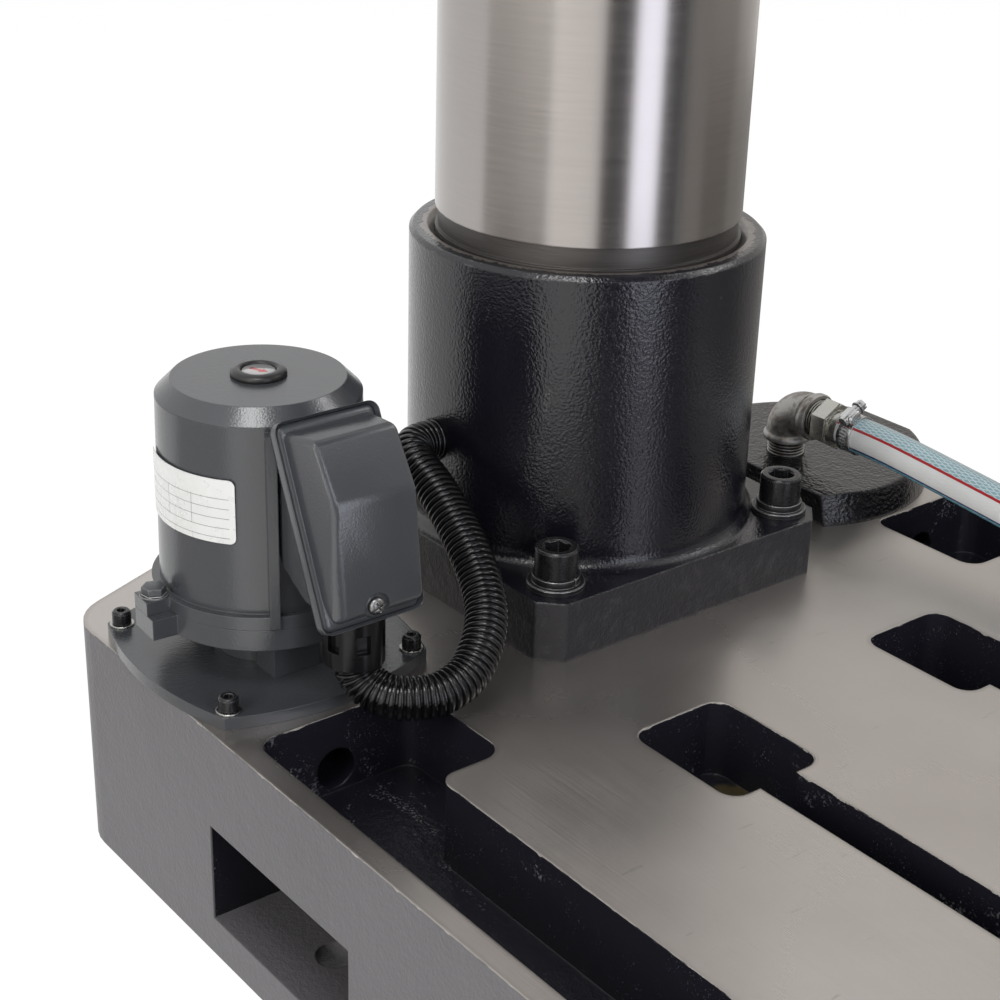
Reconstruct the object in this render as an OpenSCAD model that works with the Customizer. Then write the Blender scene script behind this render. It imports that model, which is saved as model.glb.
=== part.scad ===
/* [Base casting] */
// Width of the base, left to right
base_w = 500; // [480:10:620]
// Distance from the column's axis to the base's front edge
base_front = 560; // [520:10:700]
// Distance from the column's axis to the base's back edge
base_back = 150; // [140:2:170]
// Height of the base
base_h = 120; // [112:2:160]
// Thickness of the outer walls
base_wall = 11; // [9:0.5:14]
// Thickness of the plate that carries the slots and the column
plate_t = 54; // [52:1:60]
// Where the back corners start to slant, on the side edge
shoulder_y = 78; // [70:1:90]
// Angle at which the back corners slant
back_slant = 23; // [18:1:28]
// Radius of the slanted back corners
back_r = 28; // [10:1:36]

/* [Base slots and gutters] */
// Distance between the two T-slots
slot_pitch = 150; // [130:5:180]
// Width of a T-slot at the table surface
slot_w = 22; // [18:1:28]
// Width of a T-slot's undercut
slot_t_w = 37; // [32:1:42]
// Height of a T-slot's undercut
slot_t_h = 16; // [12:1:18]
// Depth of a T-slot
slot_depth = 38; // [34:1:40]
// Width of the pocket where a T-bolt drops in
entry_w = 54; // [50:1:60]
// Length of that pocket
entry_len = 64; // [50:1:80]
// Distance from the column's axis to that pocket
entry_y = 161; // [150:1:200]
// Width of the raised table between the gutters
deck_w = 382; // [360:2:390]
// Distance from the column's axis to the front edge of the raised table
deck_front = 500; // [480:5:510]
// Depth of the gutters
gutter_d = 40; // [30:1:42]
// Half width between the two wide pockets of the gutters
pocket_in = 155.5; // [140:0.5:165]
// Distance from the column's axis to the back edge of the wide pockets
pocket_back = 72; // [66:1:80]
// Length of the wide pockets
pocket_len = 68; // [50:1:90]
// Radius of the drain from a wide pocket into the sump
drain_r = 10; // [6:1:12]

/* [Anchors] */
// Thickness of the feet that the anchor bolts hold down
foot_t = 20; // [15:1:25]
// Height of the anchor pockets' roof above the floor
anchor_top = 70; // [60:1:70]
// Length of an anchor pocket
anchor_len = 110; // [80:5:130]
// Distance from the column's axis to the back edge of the first pocket
anchor_back = 50; // [50:1:60]
// Depth of an anchor pocket from the side
anchor_depth = 60; // [50:1:64]
// Radius of the anchor bolt holes
anchor_r = 9; // [7:0.5:11]

/* [Column and socket] */
// Diameter of the ground column
column_d = 150; // [140:1:160]
// Wall of the column tube
column_wall = 14; // [10:1:20]
// Height of the column's top above the floor
column_top = 1590; // [1540:5:1595]
// Outer diameter of the socket sleeve
socket_d = 175; // [170:1:180]
// Height of the socket above the base
socket_h = 175; // [150:1:200]
// Depth of the socket flange, front to back
flange_w = 189; // [187:1:199]
// Distance from the column's axis to the flange's right edge
flange_right = 90; // [89:1:99]
// Width of the cut across each corner of the flange
flange_cut = 11; // [8:1:12]
// Thickness of the socket flange
flange_t = 30; // [24:1:36]
// Distance between the flange bolts, both ways
flange_pitch = 149; // [146:1:152]
// Thread diameter of the flange bolts
flange_m = 14; // [12:1:16]
// Depth to which the flange bolts reach into the base
flange_grip = 30; // [20:1:40]
// Height of the conduit's hole above the base
inlet_z = 79; // [60:1:120]

/* [Coolant return] */
// Distance of the return pipe from the column's axis
return_x = 158; // [150:1:170]
// Thickness of the return plate
return_t = 17; // [12:1:22]
// Outer diameter of the pipe thread
pipe_d = 21; // [20:0.5:24]
// Height of the return elbow's side port above the base
elbow_z = 44; // [42:1:56]
// Outer diameter of the drain hose
hose_d = 20; // [18:0.5:21]
// Wall of the drain hose
hose_wall = 3; // [2.5:0.1:3.3]

/* [Coolant pump] */
// Distance of the pump's axis to the left of the column
pump_x = 190; // [185:1:195]
// Distance of the pump's axis in front of the column
pump_y = 2; // [0:1:6]
// Half width of the pump flange, across
pump_half = 63.5; // [61:0.5:68]
// Half width of the pump flange, front to back
pump_half_y = 65.5; // [63:0.5:70]
// Thickness of the pump flange
pump_t = 6; // [5:1:12]
// Distance between the pump bolts, both ways
pump_pitch = 98; // [94:1:100]
// Thread diameter of the pump bolts
pump_m = 5; // [4:1:6]
// Outer radius of the two rings at the motor's foot
ring_r = 51; // [49:0.5:54]
// Height of the lower ring's underside above the base
ring_z = 26; // [22:1:30]
// Height of the lower ring
ring_h = 10; // [8:1:12]
// Height of the ring at the shell's foot
foot_h = 6.5; // [5:0.5:9]
// Radius of the motor shell under its cap
shell_r = 46; // [44:0.5:47]
// Extra radius of the motor shell at its foot
shell_flare = 1.4; // [0:0.1:2]
// Wall of the motor shell
shell_wall = 3; // [2:0.5:5]
// Height of the cap's seam above the base
seam_z = 130; // [124:1:140]
// Height and width of the cap's bevelled shoulder
cap_bevel = 7; // [4:1:10]
// Length of the suction tube below the base's top
suction_len = 84; // [60:1:90]

/* [Terminal box and conduit] */
// Width of the lid's rim
box_w = 52; // [47:1:58]
// Width of the lid's front face
lid_w = 41; // [37:1:46]
// Width of the terminal box behind the lid
body_w = 38; // [34:1:42]
// Outer diameter of the conduit over its ribs
conduit_d = 20; // [18:0.5:22]
// Wall of the conduit
conduit_wall = 1.5; // [1:0.1:2]
// Depth of the conduit's ribs
rib_depth = 1.4; // [0.8:0.1:2]
// Number of ribs on the conduit
rib_count = 72; // [40:1:100]

/* [Table and bracket] */
// Distance from the column's axis to the spindle's axis
throat = 300; // [290:5:340]
// Height of the work table's top above the floor
table_z = 860; // [800:5:900]
// Diameter of the work table
table_d = 420; // [380:5:430]
// Thickness of the work table
table_t = 50; // [45:1:60]
// Width of the work table's T-slots
table_slot_w = 16; // [14:1:18]
// Height of the bracket's collar
collar_h = 150; // [140:5:180]
// Wall of the bracket's collar
collar_wall = 26; // [22:1:30]
// Diameter of the table's post
post_d = 70; // [60:1:80]
// Length of the table's post
post_len = 80; // [70:1:95]
// Number of teeth of the lift pinion
lift_teeth = 18; // [16:1:20]
// Length of the crank arm
crank_len = 130; // [110:5:160]

/* [Head] */
// Height of the head casting's underside above the floor
head_z = 1340; // [1330:5:1360]
// Width of the head
head_w = 320; // [312:2:340]
// Height of the head casting
head_h = 340; // [335:5:380]
// Distance from the column's axis to the head's front face
head_front = 400; // [395:5:420]
// Distance from the column's axis to the head's back face
head_back = 112; // [105:1:130]
// Wall of the gear chamber
head_wall = 12; // [10:1:14]
// Diameter of the quill
quill_d = 90; // [86:1:92]
// Length of the quill
quill_len = 262; // [256:1:266]
// Travel of the quill
quill_travel = 160; // [120:5:160]
// Diameter of the spindle's splined drive end
spline_d = 36; // [32:1:38]
// Number of teeth of the feed pinion
feed_teeth = 20; // [18:1:20]
// Length of a feed lever
feed_len = 190; // [150:5:220]
// Radius of the motor
motor_r = 80; // [70:1:84]
// Height of the motor's body
motor_h = 200; // [180:5:240]
// Module of all the gears and racks
gear_m = 3; // [3:0.5:3]
// Teeth of the motor's pinion
motor_teeth = 20; // [18:1:22]
// Teeth of the large lay gear
lay_teeth = 40; // [38:1:40]
// Teeth of the small lay gear
lay_small = 25; // [24:1:26]
// Teeth of the spindle gear
spindle_teeth = 50; // [48:1:50]

/* [Hidden] */
$fn = 64;
// Overshoot of a cut past a face
eps = 1;
// Radial gap of a seat between two fixed pieces
seat = 0.05;
// Radial gap of a running fit, and the gap between faces that slide
run = 0.06;
// Gap between curved faces of two moving bodies
slack = 0.3;
top = base_h;
column_r = column_d / 2;
bolt_r = flange_m / 2;
washer_t = 2.5;
spring_t = 3.5;
pump_at = [-pump_x, -pump_y, top];
m5_r = pump_m / 2;
pump_washer_t = 1;

// Corner points with radii, turned into an outline with arcs
function unit(v) = v / norm(v);
function arc_points(a, b, c, r, n) =
    let (u = unit(a - b), w = unit(c - b), half = acos(u * w) / 2)
    let (centre = b + unit(u + w) * r / sin(half))
    let (s = b + u * r / tan(half) - centre, e = b + w * r / tan(half) - centre)
    let (sweep = atan2(s.x * e.y - s.y * e.x, s * e))
    [for (i = [0 : n]) let (g = sweep * i / n)
        centre + [s.x * cos(g) - s.y * sin(g), s.x * sin(g) + s.y * cos(g)]];
function flat2(p) = [p.x, p.y];
function rounded(pts, n = 6) =
    [for (i = [0 : len(pts) - 1])
        let (k = len(pts), a = pts[(i + k - 1) % k], b = pts[i], c = pts[(i + 1) % k])
        each b.z > 0 ? arc_points(flat2(a), flat2(b), flat2(c), b.z, n) : [flat2(b)]];

// Involute gear outline: one tooth is centred on the +X axis
play = 0.35;
function inv_angle(r, rb) = let (t = sqrt(max(0, r * r / (rb * rb) - 1))) t * 180 / PI - atan(t);
function half_tooth(r, z, m) =
    let (rp = m * z / 2, rb = rp * cos(20))
    (m * PI / 2 - play) / 2 / rp * 180 / PI + inv_angle(rp, rb) - inv_angle(max(r, rb), rb);
function gear_outline(z, m) =
    let (rp = m * z / 2, radii = [rp - 1.2 * m, rp - 0.6 * m, rp, rp + 0.5 * m, rp + 0.95 * m])
    [for (i = [0 : z - 1])
        each concat(
            [for (r = radii) let (g = 360 * i / z - half_tooth(r, z, m)) r * [cos(g), sin(g)]],
            [for (k = [4 : -1 : 0]) let (r = radii[k], g = 360 * i / z + half_tooth(r, z, m))
                r * [cos(g), sin(g)]])];
module gear(z, m, h, bore) {
    difference() {
        linear_extrude(h) polygon(gear_outline(z, m));
        translate([0, 0, -eps]) cylinder(r = bore, h = h + 2 * eps);
    }
}
// Rack outline along +Y with the teeth on +X, pitch line on the Y axis, a gap centred on y = 0
function rack_teeth(n, m) =
    [for (i = [0 : n - 1])
        let (y = (i + 0.5) * PI * m, w = PI * m / 4 - play / 2, s = tan(20) * m)
        each [[-1.2 * m, y - w - 1.2 * s], [0.9 * m, y - w + 0.9 * s],
            [0.9 * m, y + w - 0.9 * s], [-1.2 * m, y + w + 1.2 * s]]];

// Turns a child that points up so that it points along +X, or along -Y
module along_x() rotate([0, 90, 0]) children();
module towards_front() rotate([90, 0, 0]) children();
// Socket-head cap screw: the origin is under its head
module cap_screw(r, len, head_r, head_h, key) {
    difference() {
        union() {
            cylinder(r = head_r, h = head_h);
            translate([0, 0, -len]) cylinder(r = r, h = len);
        }
        translate([0, 0, head_h / 2]) cylinder(d = key / cos(30), h = head_h, $fn = 6);
    }
}
// Ring between two radii
module ring(r, bore, h) {
    difference() {
        cylinder(r = r, h = h);
        translate([0, 0, -eps]) cylinder(r = bore, h = h + 2 * eps);
    }
}
module at_corners(pitch_x, pitch_y) {
    for (sx = [-1, 1], sy = [-1, 1]) translate([sx * pitch_x / 2, sy * pitch_y / 2, 0]) children();
}

// Outline of the base, drawn in by a distance
function base_outline(i) =
    let (hw = base_w / 2 - i, slope = tan(back_slant), drop = i / cos(back_slant))
    let (side = shoulder_y - drop + i * slope, back = base_back - i)
    let (bx = base_w / 2 - (back - shoulder_y + drop) / slope, r = max(2, back_r - i))
    [[hw, -base_front + i, 12 - i / 2], [hw, side, r], [bx, back, r],
        [-bx, back, r], [-hw, side, r], [-hw, -base_front + i, 12 - i / 2]];
inner_x = base_w / 2 - base_wall;
inner_front = base_front - base_wall;
roof_z = base_h - plate_t;
sump_floor = 10;
sump_roof = 16;
sump_front = 38;
sump_in = 108;
boss_back = 101;
anchor_front = deck_front + 10;
pump_hole_r = 31;

module gutter_half() {
    translate([0, 0, top - gutter_d]) linear_extrude(gutter_d + eps)
        polygon(rounded([[-inner_x, -pocket_back, 10], [-inner_x, -inner_front, 10],
            [eps, -inner_front, 0], [eps, -deck_front, 0], [-deck_w / 2, -deck_front, 8],
            [-deck_w / 2, -pocket_back - pocket_len, 8], [-pocket_in, -pocket_back - pocket_len, 10],
            [-pocket_in, -pocket_back, 8]]));
    translate([-(inner_x + pocket_in) / 2, -sump_front + eps, top - gutter_d + drain_r + 2])
        towards_front() cylinder(r = drain_r, h = pocket_back - sump_front + 2 * eps);
}
module slot_cut() {
    entry_end = entry_y + entry_len;
    translate([-slot_w / 2, -deck_front - eps, top - slot_depth])
        cube([slot_w, deck_front + eps - entry_end + eps, slot_depth + eps]);
    translate([-slot_t_w / 2, -deck_front - eps, top - slot_depth])
        cube([slot_t_w, deck_front + eps - entry_end + eps, slot_t_h]);
    translate([0, 0, top - slot_depth]) linear_extrude(slot_depth + eps)
        polygon(rounded([[-entry_w / 2, -entry_y, 9], [-entry_w / 2, -entry_end, 9],
            [entry_w / 2, -entry_end, 9], [entry_w / 2, -entry_y, 9]]));
}
module sump_space() {
    translate([0, 0, sump_floor]) intersection() {
        linear_extrude(base_h - sump_roof - sump_floor) polygon(rounded(base_outline(base_wall)));
        union() {
            for (s = [-1, 1]) translate([s > 0 ? sump_in : -base_w, -sump_front, 0])
                cube([base_w - sump_in, base_back + sump_front, base_h]);
            translate([-sump_in - eps, boss_back + base_wall, 0])
                cube([2 * (sump_in + eps), base_back, base_h]);
        }
    }
}
module underside_space() {
    rib_t = 12;
    half = base_w / 2 - anchor_depth - base_wall;
    cell = (inner_front - sump_front - base_wall - 2 * rib_t) / 3;
    for (i = [0 : 2]) translate([-half, -inner_front + i * (cell + rib_t), -eps])
        cube([2 * half, cell, roof_z + eps]);
    side_len = anchor_front - anchor_back - 2 * anchor_len - 2 * base_wall;
    for (s = [-1, 1])
        translate([s > 0 ? half + base_wall : -inner_x, -anchor_back - anchor_len - base_wall - side_len, -eps])
            cube([inner_x - half - base_wall, side_len, roof_z + eps]);
    core = sump_in - base_wall - rib_t / 2;
    for (sx = [-1, 1]) translate([sx > 0 ? rib_t / 2 : -rib_t / 2 - core, 0, -eps]) {
        translate([0, -sump_front + eps, 0]) cube([core, sump_front - eps - rib_t / 2, roof_z + eps]);
        translate([0, rib_t / 2, 0]) cube([core, boss_back - rib_t / 2, roof_z + eps]);
    }
}
module anchor_cuts() {
    for (s = [-1, 1], y = [-anchor_back - anchor_len, -anchor_front]) {
        x = s > 0 ? base_w / 2 - anchor_depth : -base_w / 2 - eps;
        translate([x, y, foot_t]) cube([anchor_depth + eps, anchor_len, anchor_top - foot_t]);
        translate([s * (base_w / 2 - anchor_depth / 2), y + anchor_len / 2, -eps])
            cylinder(r = anchor_r, h = foot_t + 2 * eps);
    }
}
module base_casting() color([0.34, 0.34, 0.36]) difference() {
    linear_extrude(base_h) polygon(rounded(base_outline(0)));
    gutter_half();
    mirror([1, 0, 0]) gutter_half();
    for (s = [-1, 1]) translate([s * slot_pitch / 2, 0, 0]) slot_cut();
    sump_space();
    underside_space();
    anchor_cuts();
    translate([0, 0, top - flange_grip - 2]) at_corners(flange_pitch, flange_pitch)
        cylinder(r = bolt_r + seat, h = flange_grip + 2 + eps);
    translate(pump_at - [0, 0, sump_roof + eps]) cylinder(r = pump_hole_r, h = sump_roof + 2 * eps);
    translate(pump_at - [0, 0, 12]) at_corners(pump_pitch, pump_pitch)
        cylinder(r = m5_r + seat, h = 12 + eps);
    translate([return_x, 0, top - sump_roof - eps]) cylinder(d = pipe_d, h = sump_roof + 2 * eps);
}

// Column and its socket
foot_r = 6;
// The spot face at each bolt clears the whole head, however close the sleeve stands
spot_h = washer_t + spring_t + flange_m + 4;
inlet_angle = 176;
module column_socket() color([0.15, 0.15, 0.19]) translate([0, 0, top]) difference() {
    union() {
        linear_extrude(flange_t) polygon(rounded([
            [flange_right - flange_cut, -flange_w / 2, 2], [flange_right, -flange_w / 2 + flange_cut, 2],
            [flange_right, flange_w / 2 - flange_cut, 2], [flange_right - flange_cut, flange_w / 2, 2],
            [-flange_w / 2 + flange_cut, flange_w / 2, 2], [-flange_w / 2, flange_w / 2 - flange_cut, 2],
            [-flange_w / 2, -flange_w / 2 + flange_cut, 2], [-flange_w / 2 + flange_cut, -flange_w / 2,
                2]], 4));
        rotate_extrude($fn = 96) polygon(concat([[0, flange_t - eps], [socket_d / 2 + foot_r, flange_t - eps],
            [socket_d / 2 + foot_r, flange_t]],
            [for (i = [1 : 5]) [socket_d / 2 + foot_r * (1 - sin(18 * i)), flange_t +
                foot_r * (1 - cos(18 * i))]],
            [[socket_d / 2, socket_h - 2], [socket_d / 2 - 2, socket_h], [0, socket_h]]));
    }
    translate([0, 0, -eps]) cylinder(r = column_r + seat, h = socket_h + 2 * eps, $fn = 96);
    translate([0, 0, socket_h - 3]) cylinder(r1 = column_r, r2 = column_r + 4 + eps, h = 3 + eps, $fn = 96);
    translate([0, 0, -eps]) at_corners(flange_pitch, flange_pitch) cylinder(r = bolt_r + 0.5,
        h = flange_t + 2 * eps);
    translate([0, 0, flange_t]) at_corners(flange_pitch, flange_pitch)
        cylinder(r = flange_m + 0.5, h = spot_h);
    rotate([0, 0, inlet_angle]) translate([column_r - 3, 0, inlet_z]) along_x()
        cylinder(d = conduit_d + 0.6, h = socket_d / 2 - column_r + 10);
}
collar_len = 10;
wire_r = 7;
module column() color([0.72, 0.72, 0.72]) difference() {
    translate([0, 0, top]) cylinder(r = column_r, h = column_top - top, $fn = 96);
    translate([0, 0, top - eps]) cylinder(r = column_r - column_wall, h = column_top - top + 2 * eps,
        $fn = 96);
    translate([0, 0, top + socket_h]) ring(column_r + eps, column_r - 1.5, collar_len);
    rotate([0, 0, inlet_angle]) translate([column_r - column_wall - 4, 0, top + inlet_z]) along_x()
        cylinder(r = wire_r, h = column_wall + 8);
    at_back() for (z = rack_screw_z) translate([column_r - rack_screw_d, 0, z]) along_x()
        cylinder(r = 3 + seat, h = rack_screw_d + eps);
}
module flange_bolts() color([0.08, 0.08, 0.09]) translate([0, 0, top + flange_t + washer_t + spring_t])
    at_corners(flange_pitch, flange_pitch)
        cap_screw(bolt_r, flange_grip + flange_t + washer_t + spring_t, flange_m * 0.75, flange_m, 12);
module flange_washers() color([0.1, 0.1, 0.11]) translate([0, 0, top + flange_t])
    at_corners(flange_pitch, flange_pitch) {
        ring(flange_m, bolt_r + 0.5, washer_t);
        translate([0, 0, washer_t]) ring(flange_m * 0.82, bolt_r + 0.3, spring_t);
    }
module coolant_riser() color([0.55, 0.5, 0.4]) translate([-column_r + column_wall + 20, 0, top])
    ring(9, 7, column_top - top);

// Lift rack on the back of the column, drawn towards +X and turned to the back
module at_back() rotate([0, 0, 90]) children();
rack_w = 20;
rack_z0 = 335;
rack_z1 = 1310;
rack_depth = 16;
rack_pitch_x = column_r + rack_depth - 0.9 * gear_m;
rack_screw_d = 10;
rack_screw_z = [rack_z0 + 12, rack_z1 - 12];
rack_n = floor((rack_z1 - rack_z0 - 60) / (PI * gear_m));
// The middle gap of the teeth sits at the pinion's height
crank_z = table_z - table_t - post_len - 8;
rack_first = crank_z - round((crank_z - rack_z0 - 30) / (PI * gear_m)) * PI * gear_m;
module rack() color([0.5, 0.5, 0.52]) at_back() difference() {
    union() {
        translate([column_r - 4, -rack_w / 2, rack_z0]) cube([rack_depth + 4 - 2.1 * gear_m, rack_w,
            rack_z1 - rack_z0]);
        translate([rack_pitch_x, rack_w / 2, rack_first]) rotate([90, 0, 0]) linear_extrude(rack_w)
            polygon(concat([[-3.2 * gear_m, 0]], rack_teeth(rack_n, gear_m),
                [[-3.2 * gear_m, rack_n * PI * gear_m]]));
    }
    translate([0, 0, rack_z0 - eps]) cylinder(r = column_r + 0.02, h = rack_z1 - rack_z0 + 2 * eps, $fn = 96);
    for (z = rack_screw_z) translate([column_r - 5, 0, z]) along_x() cylinder(r = 3 + seat,
        h = rack_depth + 10);
}
module rack_screws() color([0.2, 0.2, 0.2]) at_back()
    for (z = rack_screw_z) translate([column_r + rack_depth - 2.1 * gear_m, 0, z]) along_x()
        cap_screw(3, rack_depth + rack_screw_d - 2.1 * gear_m - 2, 5, 5, 5);

// Coolant return: plate, elbow, hose tail and clamp. The plate is where two tapered discs cross
plate_r = 85;
plate_draft = 3.6;
plate_left = 30.5;
plate_edge = 8;
plate_lead = 10;
plate_shift = 14.4;
module return_plate() color([0.12, 0.12, 0.14]) translate([0, 0, top]) difference() {
    intersection() {
        translate([return_x - plate_left, -plate_r, 0]) cube([base_w / 2 - plate_edge - return_x + plate_left,
            2 * plate_r, return_t]);
        intersection_for(s = [-1, 1]) translate([return_x + plate_lead, s * plate_shift, 0])
            cylinder(r1 = plate_r, r2 = plate_r - plate_draft, h = return_t, $fn = 96);
    }
    translate([return_x, 0, -eps]) cylinder(d = pipe_d + 2 * seat, h = return_t + 2 * eps);
}
elbow_r = 12;
bend_r = 15;
module quarter_bend(r) rotate([90, 0, 90]) rotate_extrude(angle = 90) translate([bend_r, 0]) circle(r = r);
module return_elbow() color([0.6, 0.6, 0.58]) translate([return_x, 0, top]) difference() {
    union() {
        cylinder(d = pipe_d, h = return_t + 8);
        translate([0, 0, return_t + 8]) cylinder(r = elbow_r + 1, h = 5);
        translate([0, 0, return_t + 12]) cylinder(r = elbow_r - 0.3, h = elbow_z - bend_r - return_t - 11);
        translate([0, -bend_r, elbow_z - bend_r]) quarter_bend(elbow_r);
        translate([0, -bend_r + 1, elbow_z]) towards_front() cylinder(r = elbow_r - 0.3, h = 4);
        translate([0, -bend_r - 2, elbow_z]) towards_front() cylinder(r = elbow_r + 1.5, h = 5.5);
    }
    translate([0, 0, -eps]) cylinder(d = pipe_d - 5, h = elbow_z - bend_r + 2 * eps);
    translate([0, -bend_r, elbow_z - bend_r]) quarter_bend(pipe_d / 2 - 3);
    translate([0, -bend_r + eps, elbow_z]) towards_front() cylinder(d = pipe_d - 5, h = 16);
    translate([0, -bend_r - 2, elbow_z]) towards_front() cylinder(d = pipe_d + 2 * seat, h = 12);
}
// Radius of the spigots that carry the hose, and of its bore, so that the bore's flats clear them
hose_sides = 12;
tail_r = hose_d / 2 - hose_wall - 0.25;
hose_bore = (tail_r + seat) / cos(180 / hose_sides);
module tail_body(r_bore) {
    difference() {
        union() {
            cylinder(d = pipe_d, h = 10);
            translate([0, 0, 10]) cylinder(d = 27, h = 11, $fn = 6);
            translate([0, 0, 21]) cylinder(r = tail_r, h = 24);
            translate([0, 0, 21]) cylinder(r = hose_d / 2 - 0.5, h = neck_h);
        }
        translate([0, 0, -eps]) cylinder(r = r_bore, h = 60);
    }
}
tail_y = bend_r + 2;
neck_h = 5;
module hose_tail() color([0.75, 0.75, 0.73]) translate([return_x, -tail_y, top + elbow_z]) towards_front()
    tail_body(5);
hose_start = tail_y + 21 + neck_h;
module clamp_body(y) {
    translate([0, -y, 0]) towards_front() {
        ring(hose_d / 2 + 1.2, hose_d / 2 + seat, 9);
        translate([0, hose_d / 2 + 1, 0]) translate([-6, 0, -1]) cube([12, 7, 11]);
        translate([-12, hose_d / 2 + 5.5, 4.5]) along_x() cylinder(r = 3.4, h = 6.2);
    }
}
module hose_clamp() color([0.8, 0.8, 0.8]) translate([return_x, 0, top + elbow_z]) clamp_body(hose_start +
    2.5);

// Tubes swept along hand-chosen routes
function bezier_point(p, i, t) =
    let (n = len(p), a = p[max(0, i - 1)], b = p[i], c = p[min(n - 1, i + 1)], d = p[min(n - 1, i + 2)])
    0.5 * ((2 * b) + (c - a) * t + (2 * a - 5 * b + 4 * c - d) * t * t + (3 * b - a - 3 * c + d) * t * t * t);
function smooth_route(p, steps) = concat([for (i = [0 : len(p) - 2], k = [0 : steps - 1]) bezier_point(p,
    i, k / steps)],
    [p[len(p) - 1]]);
function route_dir(p, i) = unit(p[min(len(p) - 1, i + 1)] - p[max(0, i - 1)]);
// Frames that don't twist: each side vector is the one before, squared to the new direction
function side_vectors(p, i = 0, u = undef, acc = []) = i == len(p) ? acc :
    let (d = route_dir(p, i), g = is_undef(u) ? (abs(d.z) > 0.9 ? [1, 0, 0] : [0, 0, 1]) : u)
    let (s = unit(g - d * (g * d))) side_vectors(p, i + 1, s, concat(acc, [s]));
function tube_ring(c, d, s, r, n) = let (w = cross(d, s)) [for (k = [0 : n - 1]) c +
    r * (s * cos(360 * k / n) + w * sin(360 * k / n))];
// A closed skin over m rings of n points, with flat ends; faces are triangles
function skin_faces(m, n) = concat(
    [for (i = [0 : m - 2], k = [0 : n - 1]) let (a = i * n + k, b = i * n + (k + 1) % n) each [[a, b,
        a + n], [b, b + n, a + n]]],
    [for (k = [1 : n - 2]) [0, k + 1, k]],
    [for (k = [1 : n - 2]) let (o = (m - 1) * n) [o, o + k, o + k + 1]]);
module swept(p, radii, n) {
    s = side_vectors(p);
    pts = [for (i = [0 : len(p) - 1]) each tube_ring(p[i], route_dir(p, i), s[i], radii[i], n)];
    polyhedron(points = pts, faces = [for (f = skin_faces(len(p), n)) [f[2], f[1], f[0]]]);
}

// Route of the drain hose, from the hose tail to the drain fitting, above the base's top
hose_end = 526;
hose_route = [[return_x, -hose_start, elbow_z], [158, -54, elbow_z], [158, -65, elbow_z], [158, -79, 43.6],
    [158, -99, 42.3], [158, -121, 40.6], [158, -147.2, 38.5], [158, -173.9, 36.2], [158, -200.7, 34.1],
    [158, -227.4, 32.3], [158, -254.2, 31], [158, -281, 30.4], [158, -307.8, 31], [158, -334.2, 35.5],
    [158, -358.7, 46.1], [158, -379.6, 62.8], [158, -395.6, 84.2], [158, -405.4, 109.1],
    [157.9, -408.9, 135.6], [157.4, -408.1, 162.4], [156.5, -404.9, 189], [155.5, -400.1, 215.3],
    [154.3, -394.4, 241.5], [153.1, -388.1, 267.5], [151.7, -381.4, 293.5], [150.1, -374.4, 319.3],
    [148.4, -367.5, 345.1], [146.7, -361.3, 371.2], [145.1, -355.6, 397.3], [143.4, -350.4, 423.6],
    [141.7, -345.2, 448.5], [140.5, -341.4, 472], [140, -340, 494], [140, -340, 506],
    [140, -340, hose_end]];
module drain_hose() color([0.7, 0.82, 0.85]) translate([0, 0, top]) {
    path = smooth_route(hose_route, 3);
    bore = [for (i = [0 : len(path) - 1]) i == 0 ? path[0] + [0, eps, 0] :
        i == len(path) - 1 ? path[i] + [0, 0, eps] : path[i]];
    difference() {
        swept(path, [for (p = path) hose_d / 2], hose_sides);
        swept(bore, [for (p = path) hose_bore], hose_sides);
    }
}

// Route of the conduit, from the gland to the socket's hole, above the base's top
conduit_route = [[-190, -76, 46], [-190, -76, 38], [-190, -76, 30], [-189, -78, 21.5], [-186, -84, 15.3],
    [-181, -92, 12.8], [-171.5, -98.5, 12.3], [-160, -102, 13], [-146, -101, 17], [-134, -95, 25],
    [-124, -85, 33], [-117, -72, 41], [-113, -58, 50], [-110, -43, 58], [-108, -28, 66], [-107.5, -18, 71],
    [-107.5, -9, 75], [-105.5, -1, 77.5], [-100.5, 4.3, 79], [-93, 6.3, 79.3], [-84, 5.9, 79], [-76, 5.3,
        79]];
ribs_per_step = 4;
function conduit_fine() = smooth_route(conduit_route, ribs_per_step);
conduit_core = conduit_d / 2 - rib_depth;
// Points spread evenly along a route, by walking its length
function run_lengths(p, i = 0, s = 0, acc = []) = i == len(p) ? acc :
    let (t = i == 0 ? 0 : s + norm(p[i] - p[i - 1])) run_lengths(p, i + 1, t, concat(acc, [t]));
function point_at(p, l, s) = let (k = [for (i = [0 : len(p) - 2]) if (l[i] <= s && s <= l[i + 1]) i][0])
    let (t = (s - l[k]) / (l[k + 1] - l[k])) p[k] * (1 - t) + p[k + 1] * t;
module conduit() color([0.06, 0.06, 0.06]) translate([0, 0, top]) {
    fine = conduit_fine();
    lengths = run_lengths(fine);
    total = lengths[len(lengths) - 1];
    count = 2 * rib_count;
    path = [for (i = [0 : count]) point_at(fine, lengths, min(total - 0.001, total * i / count))];
    bore = [for (i = [0 : 2 : count]) path[i]];
    difference() {
        swept(path, [for (i = [0 : count]) i < 6 || i > count - 12 || i % 2 == 0 ? conduit_core :
            conduit_d / 2], 8);
        swept([for (i = [0 : len(bore) - 1]) i == 0 ? bore[0] + eps * unit(bore[0] - bore[1]) :
            i == len(bore) - 1 ? bore[i] + eps * unit(bore[i] - bore[i - 1]) : bore[i]],
            [for (b = bore) conduit_core - conduit_wall], 8);
    }
}

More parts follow.
